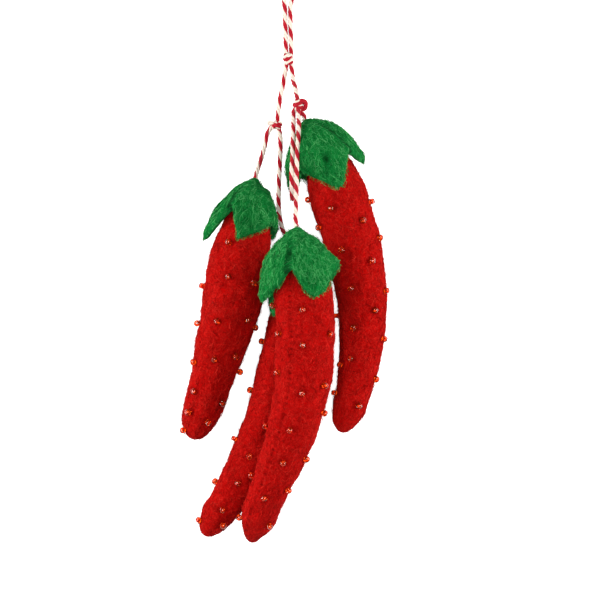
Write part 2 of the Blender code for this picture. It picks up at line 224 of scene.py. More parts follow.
def connect(tree, value, socket):
    """Link an output to a socket, or give the socket a plain value."""
    if isinstance(value, bpy.types.NodeSocket):
        tree.links.new(value, socket)
    else:
        socket.default_value = value


def feed(tree, made, **inputs):
    """Connect a node's inputs by their names, with _ for a space."""
    for key, value in inputs.items():
        connect(tree, value, made.inputs[key.replace("_", " ")])
    return made


def node(tree, kind, **inputs):
    """A new node of one kind, with its inputs connected by name."""
    return feed(tree, tree.nodes.new(kind), **inputs)


def arithmetic(tree, operation, *values, clamp=False, kind="ShaderNodeMath"):
    """A Math or Vector Math node on plain values or outputs."""
    made = tree.nodes.new(kind)
    made.operation = operation
    if clamp:
        made.use_clamp = True
    for socket, value in zip(made.inputs, values):
        connect(tree, value, socket)
    return made.outputs[0]


def blended(tree, share, first, second):
    """A colour between two, by a share from 0 to 1."""
    made = tree.nodes.new("ShaderNodeMix")
    made.data_type = "RGBA"
    # A Mix node has sockets for every kind of data: 6 and 7 are the colours, and 2 their mix.
    for number, value in ((0, share), (6, first), (7, second)):
        connect(tree, value, made.inputs[number])
    return made.outputs[2]


def attribute(tree, name):
    """The mesh's own number at each point, by the attribute's name."""
    made = tree.nodes.new("ShaderNodeAttribute")
    made.attribute_name = name
    return made.outputs["Fac"]


def bumped(tree, shader, height, strength, depth_mm):
    """A Bump node between a height and the shader's Normal."""
    bump = node(tree, "ShaderNodeBump", Strength=strength, Distance=depth_mm * MM, Height=height)
    feed(tree, shader, Normal=bump.outputs["Normal"])


print("half grey is", round(linear(128, 128, 128)[0], 3), "to the shader")

# %% The wool nap group
def make_wool_nap():
    """A node group: curls of wool as a colour and a height, from Object coordinates.

    Curl is the size of the finest curls in metres, and every noise is measured against it.
    """
    group = bpy.data.node_groups.new("wool_nap", "ShaderNodeTree")
    for name, way, kind in (
        ("Wool", "INPUT", "Color"), ("Deep", "INPUT", "Color"), ("Pale", "INPUT", "Color"),
        ("Curl", "INPUT", "Float"), ("Color", "OUTPUT", "Color"), ("Height", "OUTPUT", "Float"),
    ):
        group.interface.new_socket(name, in_out=way, socket_type="NodeSocket" + kind)
    given = group.nodes.new("NodeGroupInput").outputs
    result = group.nodes.new("NodeGroupOutput")
    place = group.nodes.new("ShaderNodeTexCoord").outputs["Object"]
    calc = partial(arithmetic, group)
    vector_calc = partial(arithmetic, group, kind="ShaderNodeVectorMath")
    pace = calc("DIVIDE", 1.0, given["Curl"])

    def noise(vector, times, detail, roughness=0.5):
        """Noise with so many times the pace of the curls."""
        scale = calc("MULTIPLY", pace, times)
        return node(group, "ShaderNodeTexNoise", Vector=vector, Scale=scale, Detail=detail,
                    Roughness=roughness).outputs

    def warped(amount, times):
        """The place moved about by a coarser noise, which curls the fibres."""
        middle = vector_calc("SUBTRACT", noise(place, times, 1.0)["Color"], (0.5, 0.5, 0.5))
        return vector_calc("MULTIPLY_ADD", middle, (amount, amount, amount), place)

    def curls(vector, times, thin):
        """Thin lines where the noise passes through its middle value."""
        away = calc("ABSOLUTE", calc("SUBTRACT", noise(vector, times, 1.5)["Fac"], 0.5))
        return calc("SUBTRACT", 1.0, calc("MULTIPLY", away, thin), clamp=True)

    on_top = calc("MAXIMUM", curls(warped(0.0035, 0.35), 1.0, 16.0),
                  curls(warped(0.005, 0.22), 0.6, 22.0))
    patches = calc("MULTIPLY", noise(place, 0.14, 3.0, 0.6)["Fac"], 0.6)
    specks = calc("MULTIPLY", noise(place, 1.7, 2.0)["Fac"], 0.9)
    depth = calc("SUBTRACT", calc("ADD", patches, specks), 0.45)
    depth = calc("MULTIPLY", depth, 1.3, clamp=True)
    # Painted shade: the deep colour fills the low patches, over a random mottle, where the height
    # also falls.
    shade = blended(group, depth, given["Wool"], given["Deep"])
    # Painted light: the pale colour lies on the curls, where the height also rises.
    lit = blended(group, calc("MULTIPLY", on_top, 0.55), shade, given["Pale"])
    feed(group, result, Color=lit, Height=calc("SUBTRACT", on_top, calc("MULTIPLY", depth, 0.6)))
    return group


WOOL_NAP = make_wool_nap()
print("wool nap nodes:", len(WOOL_NAP.nodes))

# %% The felt and fibre finishes
def new_finish(name, roughness, sheen=0.0, specular=0.03, **inputs):
    """A material, its node tree and its Principled shader, ready for its colour."""
    made = bpy.data.materials.new(name)
    made.use_nodes = True
    tree = made.node_tree
    shader = feed(
        tree, tree.nodes["Principled BSDF"], Roughness=roughness, Specular_IOR_Level=specular,
        Sheen_Weight=sheen, Sheen_Roughness=0.6, **inputs,
    )
    return made, tree, shader


def felt_finish(name, wool, deep, pale, painted_shade, curl_mm, bump_mm, sheen_tint):
    """Felt: the wool nap's colours, darkened as painted shade where the mesh's shade attribute
    says, and a fine bump.
    """
    made, tree, shader = new_finish(name, 0.95, 0.06, Sheen_Tint=sheen_tint)
    nap = tree.nodes.new("ShaderNodeGroup")
    nap.node_tree = WOOL_NAP
    feed(tree, nap, Wool=wool, Deep=deep, Pale=pale, Curl=curl_mm * MM)
    # Painted shade: the felt turns towards its dark shade colour in dents, along the seam, at folds
    # and at tacks.
    shaded = blended(tree, attribute(tree, "painted_shade"), nap.outputs["Color"], painted_shade)
    feed(tree, shader, Base_Color=shaded)
    bumped(tree, shader, nap.outputs["Height"], 0.9, bump_mm)
    return made


def strand_finish(name, deep, wool, pale, sheen_tint):
    """Loose fibres: each has its own number from 0 to 1, from deep through wool to pale."""
    made, tree, shader = new_finish(name, 0.9, 0.05, Sheen_Tint=sheen_tint)
    ramp = node(tree, "ShaderNodeValToRGB", Fac=attribute(tree, "tint"))
    ramp.color_ramp.elements[0].color = deep
    ramp.color_ramp.elements[1].color = pale
    ramp.color_ramp.elements.new(0.5).color = wool
    feed(tree, shader, Base_Color=ramp.outputs["Color"])
    return made


RED_SHEEN, GREEN_SHEEN = linear(255, 60, 50), linear(120, 220, 140)
# In each felt, deep is the painted shade of the nap's low patches over a random mottle, and pale is
# the painted light on its curls. The last dark colour is the painted shade in dents, along the
# seam, at folds and at tacks.
RED_FELT = felt_finish(
    "red_felt", wool=linear(172, 3, 2), deep=linear(92, 0, 0), pale=linear(198, 30, 24),
    painted_shade=linear(66, 0, 0), curl_mm=0.8, bump_mm=0.16, sheen_tint=RED_SHEEN,
)
GREEN_FELT = felt_finish(
    "green_felt", wool=linear(4, 126, 50), deep=linear(0, 70, 26), pale=linear(48, 160, 82),
    painted_shade=linear(0, 34, 12), curl_mm=0.5, bump_mm=0.26, sheen_tint=GREEN_SHEEN,
)
RED_STRANDS = strand_finish(
    "red_strands", deep=linear(96, 0, 0), wool=linear(172, 8, 6), pale=linear(204, 44, 34),
    sheen_tint=RED_SHEEN,
)
GREEN_STRANDS = strand_finish(
    "green_strands", deep=linear(0, 64, 24), wool=linear(6, 130, 52), pale=linear(92, 186, 108),
    sheen_tint=GREEN_SHEEN,
)
print("finishes:", *(made.name for made in (RED_FELT, GREEN_FELT, RED_STRANDS, GREEN_STRANDS)))

# %% [markdown]
# ## The twine
# Baker's twine is cotton: two red plies and two cream ones, twisted together, about 1.8 mm thick.
# A striped tube would pass from far off, but its outline would be smooth. Here each ply is its own
# tube, wound round the twine's centre line, so the stripes are the plies themselves. The routes
# repeat the solids' own points. One length runs from the left cap up through two knots, round the
# hanging loop above the picture, and down through the third knot to the right cap.

# %% The twine's finish
def cotton_finish():
    """Cotton: cream or red by the ply's own number, with fine slanting fibres from its UV map."""
    made, tree, shader = new_finish("twine_cotton", 0.8, 0.1)
    surface = tree.nodes.new("ShaderNodeUVMap")
    surface.uv_map = "surface"
    slanted = node(
        tree, "ShaderNodeMapping", Vector=surface.outputs["UV"], Scale=(1.0, 0.55, 1.0),
        Rotation=(0.0, 0.0, 0.6),
    ).outputs["Vector"]
    fibres = node(tree, "ShaderNodeTexNoise", Vector=slanted, Scale=9.0, Detail=3.0).outputs["Fac"]
    ply = attribute(tree, "ply")
    dyed = blended(tree, ply, linear(228, 214, 200), linear(170, 14, 34))
    worn = blended(tree, ply, linear(168, 138, 124), linear(112, 6, 20))
    share = arithmetic(tree, "SUBTRACT", fibres, 0.42)
    share = arithmetic(tree, "MULTIPLY", share, 2.6, clamp=True)
    feed(tree, shader, Base_Color=blended(tree, share, dyed, worn))
    bumped(tree, shader, fibres, 0.7, 0.08)
    return made


COTTON = cotton_finish()
print("finish:", COTTON.name)

# %% The twine's routes
ROUTES = {
    "loop": (
        (0.51, 101.62, 1.0), (0.41, 106.02, 0.96), (0.21, 112.02, 0.96), (0.01, 118.02, 0.96),
        (-0.89, 123.02, 0.96), (-2.09, 127.52, 0.96), (-1.59, 132.02, 0.96), (1.51, 134.22, 0.96),
        (4.61, 132.02, 0.96), (5.11, 127.52, 0.96), (3.51, 123.02, 0.96), (2.21, 118.02, 0.96),
        (2.11, 112.02, 0.96), (2.31, 106.02, 0.96), (2.41, 101.62, 1.0),
    ),
    "left_rise": (
        (0.51, 95.82, 1.0), (-0.49, 89.52, 0.96), (-1.79, 83.22, 0.96), (-2.49, 77.22, 1.0),
    ),
    "left_drop": (
        (-4.99, 73.62, 1.2), (-6.39, 71.02, 1.0), (-7.09, 67.52, 1.3), (-8.09, 63.52, 3.2),
        (-9.39, 59.52, 7.2), (-10.15, 56.87, 10.9),
    ),
    "right_rise": (
        (2.51, 95.82, 1.2), (2.91, 92.02, 2.4), (3.81, 88.02, 6.0), (4.51, 84.62, 9.2),
    ),
    "right_drop": (
        (6.3, 78.72, 11.0), (7.05, 77.47, 11.6),
    ),
    "back": (
        (-1.79, 71.92, 1.2), (-1.49, 68.02, 0.96), (-1.69, 62.02, 0.96), (-1.99, 56.02, 0.96),
        (-2.19, 50.02, 0.96), (-2.09, 44.02, 1.6), (-1.39, 39.02, 4.6), (-0.25, 35.57, 8.0),
        (1.75, 32.97, 10.6), (3.95, 31.37, 11.9),
    ),
    "front": (
        (5.05, 78.72, 13.2), (5.15, 74.02, 18.4), (4.95, 69.97, 22.4), (4.7, 65.97, 24.1),
        (4.5, 62.02, 24.9), (4.35, 57.47, 26.3), (4.3, 51.97, 28.7), (4.11, 45.47, 33.0),
        (4.01, 39.07, 37.4),
    ),
    "tail": (
        (3.25, 78.87, 11.9), (3.2, 74.02, 15.9), (3.05, 69.97, 18.6), (2.95, 65.97, 20.9),
        (2.9, 62.02, 21.9),
        (2.61, 57.97, 23.2), (2.61, 53.97, 23.2), (2.65, 50.37, 21.4), (2.71, 47.17, 19.0),
    ),
}
KNOT_PLACES = {"top": (1.41, 98.62, 2.1), "left": (-2.69, 74.52, 2.1), "right": (4.91, 81.72, 11.0)}


def distances(points):
    """How far along a row of points each one lies."""
    return np.concatenate(((0.0,), np.cumsum(np.linalg.norm(np.diff(points, axis=0), axis=1))))


def route_length(points):
    """Length along a row of points."""
    return float(np.linalg.norm(np.diff(points, axis=0), axis=1).sum())


def smooth_route(points, step):
    """Even points on a Catmull-Rom curve, which passes through every point of the route."""
    points = np.array(points, dtype=float)
    padded = np.vstack((2 * points[0] - points[1], points, 2 * points[-1] - points[-2]))
    before, start, end, after = (
        part[:, None, :] for part in (padded[:-3], padded[1:-2], padded[2:-1], padded[3:])
    )
    share = np.linspace(0.0, 1.0, 24, endpoint=False)[None, :, None]
    curve = 0.5 * (
        2 * start + (end - before) * share
        + (2 * before - 5 * start + 4 * end - after) * share**2
        + (3 * start - before - 3 * end + after) * share**3
    )
    curve = np.vstack((curve.reshape(-1, 3), points[-1:]))
    travelled = distances(curve)
    even = np.linspace(0.0, travelled[-1], max(2, round(travelled[-1] / step) + 1))
    return np.stack([np.interp(even, travelled, curve[:, axis]) for axis in range(3)], axis=1)


print("routes in mm:", {key: round(route_length(route)) for key, route in ROUTES.items()})

# %% [markdown]
# ### Winding the plies
# A ply's centre runs round the twine's centre line as a helix. Its angle falls as it goes, which
# gives the slant of the photograph's stripes, from upper left to lower right. The same function
# serves the straight runs, the knots and the short ends, so they all look like one twine.

# %% Wind four plies round a centre line
TWINE_STEP = 0.4
TWIST_PITCH = 6.8
PLY_RADIUS = 0.42
PLY_FROM_MIDDLE = 0.48
PLY_SIDES = 7
PLY_UNEVEN, PLY_UNEVEN_PACE, PLY_END_THIN = 0.05, 5.3, 0.25
SPLAY_LENGTH = 2.0
SLACK_LENGTH = 24.0
ONE_RED, TWO_RED = (0.0, 0.0, 0.0, 1.0), (1.0, 1.0, 0.0, 0.0)
THREE_RED, ALL_RED = (1.0, 1.0, 1.0, 0.0), (1.0, 1.0, 1.0, 1.0)
NEARLY_UP = (0.02, 0.01, 1.0)


def wind_plies(name, path, start=0.0, pitch=TWIST_PITCH, splay=0.0, red=TWO_RED, slack=0.0):
    """A mesh of four plies round a path, each a tube whose centre is a helix.

    The helix's angle is start plus a quarter turn per ply, less a whole turn per pitch. Splay
    spreads the plies over the last SPLAY_LENGTH, as at a cut end. Slack is the share of the
    twist that is lost over the first SLACK_LENGTH, and red says which plies are red.
    """
    travelled = distances(path)
    along = unit(np.gradient(path, axis=0))
    across = unit(np.cross(NEARLY_UP, along))
    above = np.cross(along, across)
    pace = (1.0 - slack * np.exp(-((travelled / SLACK_LENGTH) ** 4))) / pitch
    turn = start - math.tau * np.concatenate(((0.0,), np.cumsum(pace[1:] * np.diff(travelled))))
    angles = turn[None, :] + 0.5 * math.pi * np.arange(4)[:, None]
    to_end = np.clip((travelled - travelled[-1] + SPLAY_LENGTH) / SPLAY_LENGTH, 0.0, 1.0)
    away = PLY_FROM_MIDDLE + splay * to_end**2
    way = np.cos(angles)[..., None] * across + np.sin(angles)[..., None] * above
    thin = PLY_END_THIN * (to_end**4) * (splay > 0.0)
    thick = PLY_RADIUS * (1.0 + PLY_UNEVEN * np.sin(travelled * PLY_UNEVEN_PACE) - thin)
    points, faces, per_ply = tubes(
        path + away[None, :, None] * way, thick, PLY_SIDES, NEARLY_UP, pointed=False
    )
    ply = np.repeat(red, per_ply)
    ring, side = np.divmod(np.arange(per_ply), PLY_SIDES)
    u = np.abs(2.0 * (side / PLY_SIDES) - 1.0)
    v = np.interp(ring, np.arange(len(travelled)), travelled)
    uv = np.stack((np.tile(u, 4), np.tile(v, 4) + ply * 3.0), axis=1)
    return put_mesh(name, points, faces, COTTON, {"ply": ply}, uv)

# %% [markdown]
# ### The four cords and the knots
# Each knot is drawn as what shows of a pulled-tight overhand knot: the twine climbs round the
# strands that pass through it, in two slanting wraps. The left one has a short cut end, and the
# right one a small loop that was not drawn tight.

# %% Make the knots
POINTS_PER_TURN = 26
SHORT_STEP = 0.3


def knot_wraps(place, turns, radius, rise, tilt, start):
    """A wrap's centre line: a helix round an axis that is tilted from the twine's own.

    Its radius swells from about 0.6 of the whole at the ends, so the wraps look drawn in.
    """
    share = np.linspace(0.0, 1.0, int(POINTS_PER_TURN * turns))
    angle = start + math.tau * turns * share
    swell = radius * (0.62 + 0.38 * np.sin(math.pi * np.clip(share * 1.02, 0.0, 1.0)) ** 0.5)
    x = swell * np.cos(angle)
    y = rise * (share - 0.5)
    z = swell * np.sin(angle)
    lean, rock = math.cos(tilt), math.sin(tilt)
    return np.stack((x * lean - y * rock, x * rock + y * lean, z), axis=1) + place


# Each knot's wraps: turns, radius, rise, tilt and first angle; then their twist and its pitch
KNOTS = {
    "top": ((2.4, 1.15, 3.0, 0.35, 0.6), 0.4, 4.2, TWO_RED),
    "left": ((1.9, 1.02, 2.3, -0.45, 2.2), 1.8, 4.6, TWO_RED),
    "right": ((2.3, 1.18, 2.9, 0.4, 0.2), 0.9, 9.0, THREE_RED),
}
knots = {}
for side, (wraps, start, pitch, red) in KNOTS.items():
    path = knot_wraps(np.array(KNOT_PLACES[side]), *wraps)
    knots[side] = wind_plies(f"knot_{side}_wraps", path, start, pitch, red=red)
    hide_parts("knot_" + side)


def near_knot(side, offsets):
    """A short smooth route through places given from a knot's middle."""
    return smooth_route(np.array(KNOT_PLACES[side]) + np.array(offsets), SHORT_STEP)


stub = near_knot("left", ((-0.6, 0.1, 0.3), (-1.9, 0.75, 0.2), (-3.4, 0.9, -0.5)))
left_stub = wind_plies("knot_left_end", stub, 2.6, splay=0.18, red=ONE_RED)
bight = near_knot("right", (
    (0.2, 0.9, 0.6), (1.5, 1.5, 0.7), (2.7, 0.6, 0.5), (2.6, -0.9, 0.3), (1.6, -1.7, 0.2),
    (0.6, -1.6, 0.3),
))
right_bight = wind_plies("knot_right_loop", bight, 0.3, 9.0, red=ALL_RED)

# %% Make the four lengths of twine
LEFT_SLACK = 0.42
main_points = [
    (-10.5, 55.1, 12.5), *ROUTES["left_drop"][::-1], (-3.75, 74.47, 1.7), (-2.75, 75.67, 1.6),
    *ROUTES["left_rise"][::-1], (0.9, 98.67, 1.6), *ROUTES["loop"], (2.05, 98.67, 1.7),
    *ROUTES["right_rise"], (4.85, 81.77, 11.0), *ROUTES["right_drop"], (7.2, 76.1, 12.0),
]
CORDS = (
    ("twine_main", main_points, "object", 0.0, LEFT_SLACK, [knots["top"]], (
        "twine_left_drop", "twine_left_rise", "twine_loop", "twine_right_rise",
        "twine_right_drop")),
    ("twine_to_back", [(-2.45, 74.17, 2.2), *ROUTES["back"], (5.4, 29.4, 12.2)], "object", 0.0,
     0.0, [knots["left"], left_stub], ("twine_back",)),
    ("twine_to_front", [(5.05, 80.57, 11.6), *ROUTES["front"], (4.4, 37.4, 38.2)], "object", 0.0,
     0.0, [knots["right"], right_bight], ("twine_front",)),
    ("twine_free_end", [(4.15, 80.57, 11.4), *ROUTES["tail"]], "bare", 0.12, 0.0, [],
     ("twine_tail",)),
)
for number, (name, route, far_end, splay, slack, pieces, nodes) in enumerate(CORDS):
    path = smooth_route(route, TWINE_STEP)
    cord = wind_plies(name, path, start=1.1 * number, splay=splay, slack=slack)
    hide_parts(*nodes)
    print(name, "is", round(route_length(path), 1), "mm long")

# %% [markdown]
# ## The chillies' shape
# A stuffed chilli is a sewn tube, round in section, bowed, and tapering to a blunt tip. It could be
# sculpted, but four of a kind are better drawn by one rule: a centre line from crown to tip that is
# bowed sideways and arched upwards, and a radius for each place along it. The numbers repeat the
# solids' own, in millimetres, so that each body lies exactly where its solid does.

# %% The chillies' centre lines and radii
BEAD_RADIUS = 1.15
BEAD_STANDS = 0.7
BEAD_PROUD = BEAD_RADIUS + BEAD_STANDS

# A chilli's outline: full to TAPER_FROM of its length, then narrowing evenly, with a round tip
TAPER_FROM = 0.40
TAPER_SOFT = 0.04
TAPER_RATE = 0.79
TIP_FROM = 0.905
ARCH_LEAN = 0.9

# Each chilli from its crown to its tip. The bow is the sideways bulge of its middle, lift is how
# far the crown lies above its own resting height, and arch is the upward bulge of its middle.
CHILLIES = {
    "left": dict(
        crown=(-11.55, 51.57), tip=(-33.65, -39.03), radius=11.1, bow=2.4, skew=0.25, pinch=0.0,
        head=29.0, head_power=1.6, lift=1.0, arch=0.0,
    ),
    "back": dict(
        crown=(6.05, 26.02), tip=(-29.25, -73.93), radius=10.4, bow=8.7, skew=-0.05, pinch=0.0,
        head=27.0, head_power=1.6, lift=0.1, arch=0.0,
    ),
    "front": dict(
        crown=(5.05, 32.97), tip=(-12.09, -75.98), radius=10.5, bow=9.4, skew=-0.17, pinch=-0.6,
        head=22.0, head_power=1.7, lift=25.5, arch=9.4,
    ),
    "right": dict(
        crown=(12.95, 72.57), tip=(20.31, -36.68), radius=10.3, bow=10.4, skew=0.42, pinch=-0.3,
        head=25.0, head_power=1.65, lift=2.0, arch=0.0,
    ),
}
print("chillies:", {name: chilli["radius"] for name, chilli in CHILLIES.items()}, "mm in radius")

# %% A chilli's centre line, directions and radius
def taper(t):
    """Share of the full radius at t, before the two ends are rounded."""
    past = t - TAPER_FROM
    return 1.0 - TAPER_RATE * 0.5 * (np.sqrt(past * past + TAPER_SOFT**2) + past)


def centre(chilli, t):
    """Points on a chilli's centre line: a straight line from crown to tip, bowed and arched."""
    crown = np.array(chilli["crown"])
    run = np.array(chilli["tip"]) - crown
    side = np.array((-run[1], run[0])) / np.hypot(*run)
    bulge = 4.0 * t * (1.0 - t)
    off = 2.0 * t - 1.0
    bow = chilli["bow"] * bulge * (1.0 + chilli["skew"] * off + chilli["pinch"] * off * off)
    flat = crown + np.multiply.outer(t, run) + np.multiply.outer(bow, side)
    rest = chilli["radius"] * taper(t) + BEAD_PROUD
    arch = chilli["arch"] * bulge * (1.0 + ARCH_LEAN * off)
    height = rest + chilli["lift"] * (1.0 - t) + arch
    return np.concatenate((flat, height[..., None]), axis=-1)


def ways_at(chilli, t):
    """Unit vectors at t: along the chilli, straight up from it, and across it to the right."""
    step = 0.004
    along = unit(centre(chilli, t + step) - centre(chilli, t - step))
    up = unit(np.array((0.0, 0.0, 1.0)) - along * along[..., 2:3])
    return along, up, np.cross(up, along)


def length(chilli):
    """Length of a chilli's centre line."""
    return route_length(centre(chilli, np.linspace(0.0, 1.0, 201)))


def body_radius(chilli, t):
    """Radius at t, with a domed crown and a round tip."""
    depth = np.clip(t * length(chilli) / chilli["head"], 0.0, 1.0)
    power = chilli["head_power"]
    dome = (1.0 - (1.0 - depth) ** power) ** (1.0 / power)
    past = np.clip((t - TIP_FROM) / (1.0 - TIP_FROM), 0.0, 1.0)
    return chilli["radius"] * taper(t) * dome * np.sqrt(1.0 - past * past)


def on_skin(chilli, t, angle, above):
    """A point above a chilli's skin at t and angle, and the way out from the skin there."""
    t, angle = np.asarray(t, dtype=float), np.asarray(angle, dtype=float)[..., None]
    _, up, right = ways_at(chilli, t)
    out = up * np.cos(angle) + right * np.sin(angle)
    return centre(chilli, t) + out * (body_radius(chilli, t) + above)[..., None], out


for name, chilli in CHILLIES.items():
    print(name, "is", round(length(chilli)), "mm long and", 2 * chilli["radius"], "mm thick")

# %% [markdown]
# ## The caps' drape
# Each cap is a square of thick felt laid over a crown. Its corners hang down as leaves and the
# middles of its edges stand out as ridges. A cloth simulation would give a softer fall than
# this stiff felt has, and would put the corners where it likes, so each quarter of the square is
# a smooth patch through nine chosen places, moved out wherever it would touch the body.

# %% The caps' chosen places
FELT_THICK = 2.6
TOUCH_GAP = 0.5
CORNER_POWER = 9.0

# rim lists a cap's eight places round its edge, a corner and then the next ridge by turns, and
# half lists the places halfway to them from the middle.
CAPS = {
    "left": dict(
        side=40.0, middle=(-10.65, 54.57, 13.0),
        rim=(
            (-16.85, 31.67, 26.5), (-5.15, 39.27, 18.3), (-4.35, 31.87, 6.7), (-5.35, 39.57, 3.8),
            (-14.55, 29.17, 0.8), (-24.25, 44.27, 5.8), (-30.05, 31.37, 14.7),
            (-19.05, 44.87, 24.9),
        ),
        half=(
            (-13.15, 44.67, 24.9), (-7.85, 47.47, 16.4), (-6.45, 43.57, 8.9), (-7.75, 47.17, 6.9),
            (-12.45, 42.87, 2.8), (-16.75, 50.27, 8.4), (-20.65, 45.57, 16.9),
            (-15.25, 49.87, 21.9),
        ),
    ),
    "back": dict(
        side=37.0, middle=(6.05, 28.67, 12.3),
        rim=(
            (-3.85, 4.17, 21.3), (5.85, 12.77, 22.5), (13.95, 2.07, 21.3), (15.95, 12.17, 12.3),
            (13.95, 2.07, 3.3), (5.85, 12.77, 2.2), (-3.85, 4.17, 3.3), (-4.25, 13.47, 12.3),
        ),
        half=(
            (0.15, 18.37, 18.3), (6.15, 21.97, 19.0), (12.05, 17.97, 18.3), (12.85, 21.97, 12.3),
            (12.05, 17.97, 6.4), (6.15, 21.97, 5.6), (0.15, 18.27, 6.4), (-0.55, 21.97, 12.3),
        ),
    ),
    "front": dict(
        side=42.0, middle=(4.65, 36.67, 38.1),
        rim=(
            (11.35, 9.87, 47.7), (19.85, 24.17, 39.6), (14.25, 14.37, 24.0), (5.55, 24.87, 21.9),
            (-0.55, 14.77, 24.1), (-6.25, 24.87, 28.0), (-8.85, 8.67, 36.8), (1.65, 21.57, 50.1),
        ),
        half=(
            (8.15, 25.17, 47.9), (12.05, 30.57, 39.6), (10.95, 24.87, 28.8), (4.85, 29.87, 28.6),
            (-0.55, 24.87, 28.0), (-1.35, 31.47, 33.9), (-3.55, 25.17, 42.0), (3.05, 29.87, 47.1),
        ),
    ),
    "right": dict(
        side=42.0, middle=(7.35, 75.57, 12.1),
        rim=(
            (21.25, 49.67, 25.8), (23.35, 64.37, 23.4), (29.75, 59.67, 14.6), (23.95, 68.37, 5.2),
            (12.05, 51.47, 1.7), (0.95, 58.67, 8.0), (3.65, 46.47, 8.7), (6.15, 57.57, 20.9),
        ),
        half=(
            (13.55, 64.77, 25.5), (15.65, 70.97, 22.6), (19.95, 71.57, 15.8), (16.05, 73.67, 9.1),
            (9.95, 66.97, 3.6), (3.75, 66.57, 9.1), (3.05, 61.57, 14.0), (6.45, 66.57, 20.6),
        ),
    ),
}
print("caps:", ", ".join(f"{name} {cap['side']} mm" for name, cap in CAPS.items()))

# %% Drape a flat square over a crown
def clear_of_skin(chilli, place):
    """Points of felt, moved out from a chilli's centre line, and up, until its skin is clear."""
    whole = length(chilli)
    t = np.linspace(0.0, 0.6, 241)
    apart = np.linalg.norm(place[:, None] - centre(chilli, t), axis=-1)
    nearest = t[np.argmin(apart, axis=1)]
    along, _, _ = ways_at(chilli, nearest)
    down = nearest * whole + ((place - centre(chilli, nearest)) * along).sum(axis=-1)
    t = np.maximum(down, 0.0) / whole
    near = np.clip(t + np.array((-1.5, 0.0, 1.5))[:, None] / whole, 0.0, 1.0)
    skin = body_radius(chilli, near).max(axis=0) + FELT_THICK / 2.0 + TOUCH_GAP
    skin = skin * smooth((down + 2.0) / 3.0)
    along, _, _ = ways_at(chilli, t)
    away = place - centre(chilli, t)
    away -= along * (away * along).sum(axis=-1)[..., None]
    reach = np.maximum(np.linalg.norm(away, axis=-1), 0.001)
    place = place + away * (np.maximum(skin / reach, 1.0) - 1.0)[..., None]
    place[..., 2] = np.maximum(place[..., 2], FELT_THICK / 2.0 + 0.05)
    return place


def drape(name, felt_x, felt_y):
    """Where a point of a cap's flat felt square lies once it hangs over its crown.

    The square's corners are rounded first. Each quarter is then a leaf: a patch that passes
    through nine points, which are the middle, two ridges and the corner, the three places halfway
    to them, and the middles of its two straight cut edges. Along each side of a patch, three
    weights of second degree sum to one. Last, the felt is moved out to the chilli's skin.
    """
    cap = CAPS[name]
    cap = CAPS[name]
    top = np.maximum(np.maximum(np.abs(felt_x), np.abs(felt_y)), 0.001)
    low = np.minimum(np.abs(felt_x), np.abs(felt_y))
    rounding = (1.0 + (low / top) ** CORNER_POWER) ** (-1.0 / CORNER_POWER)
    shrink = rounding * 2.0 / cap["side"]
    to_right, to_top = felt_x >= 0.0, felt_y >= 0.0
    leaf = np.select([to_right & to_top, to_top, ~to_right], [0, 1, 2], 3)
    turned = leaf % 2 == 1
    first = np.where(turned, np.abs(felt_y), np.abs(felt_x)) * shrink
    second = np.where(turned, np.abs(felt_x), np.abs(felt_y)) * shrink
    rim, half, middle = (np.array(cap[key]) for key in ("rim", "half", "middle"))
    before, corner, after = (2 * leaf - 1) % 8, 2 * leaf, 2 * leaf + 1
    (a0, a1, a2), (b0, b1, b2) = (
        np.stack(((1.0 - s) * (1.0 - 2.0 * s), 4.0 * s * (1.0 - s), s * (2.0 * s - 1.0)))[..., None]
        for s in (first, second)
    )
    place = (
        a0 * b0 * middle + a1 * b0 * half[before] + a2 * b0 * rim[before]
        + a0 * b1 * half[after] + a0 * b2 * rim[after] + a1 * b1 * half[corner]
        + a2 * b1 * (rim[before] + rim[corner]) / 2.0
        + a1 * b2 * (rim[after] + rim[corner]) / 2.0 + a2 * b2 * rim[corner]
    )
    return clear_of_skin(CHILLIES[name], place)


def felt_points(name):
    """Points all over a cap's felt, for keeping beads off it."""
    half = CAPS[name]["side"] / 2.0
    line = np.linspace(-half, half, 17)
    felt_x, felt_y = np.meshgrid(line, line)
    return drape(name, felt_x.ravel(), felt_y.ravel())


for name in CAPS:
    print(name, "felt hangs down to", round(felt_points(name)[:, 2].min(), 1), "mm")

# %% [markdown]
# ## Where the beads go
# The beads on the shown side are listed one by one along each chilli, in staggered columns, and
# those underneath run in plain columns. A bead that would touch a cap, a neighbour or the table is
# left out, as it is in the solids.

# %% The beads' places
# How far along each bead of the shown side is from the crown, and its angle from straight up
# towards the right. Underneath they run in plain lengthwise columns, UNDER_PITCH apart.
BEADS = {
    "left": (
        (16.3, 50), (20.3, -30), (22.3, -90), (33.3, -16), (33.3, 34), (38.3, -90), (46.3, 42),
        (49.3, -18), (49.3, 80), (52.3, -90), (60.3, 40), (63.3, -6), (65.3, 88), (66.3, -64),
        (76.3, -34), (77.3, 52), (84.3, -38), (85.3, 30), (91.3, -60),
    ),
    "back": (
        (32, -90), (51, -88), (72, -88), (74, -8), (85, -2), (90, -90), (96, 2), (101, 36),
        (105, -70),
    ),
    "front": (
        (20.4, 52), (24.4, -88), (26.4, -2), (35.4, -60), (36.4, 50), (39.4, -4), (51.4, -62),
        (53.4, 52), (57.4, 2), (64.4, 76), (71.4, -4), (75.4, -88), (81.4, 72), (83.4, 6),
        (93.4, 54), (95.4, -88), (97.4, -6), (108.4, 44), (111.4, -82),
    ),
    "right": (
        (22.4, -90), (28.4, -22), (30.4, 90), (33.4, -70), (35.4, 32), (43.4, -24), (43.4, 70),
        (49.4, 32), (58.4, -20), (61.4, 70), (67.4, 28), (69.4, -90), (73.4, -22), (77.4, 72),
        (85.4, -24), (88.4, -60), (91.4, 72), (99.4, -68), (101.4, 30),
    ),
}
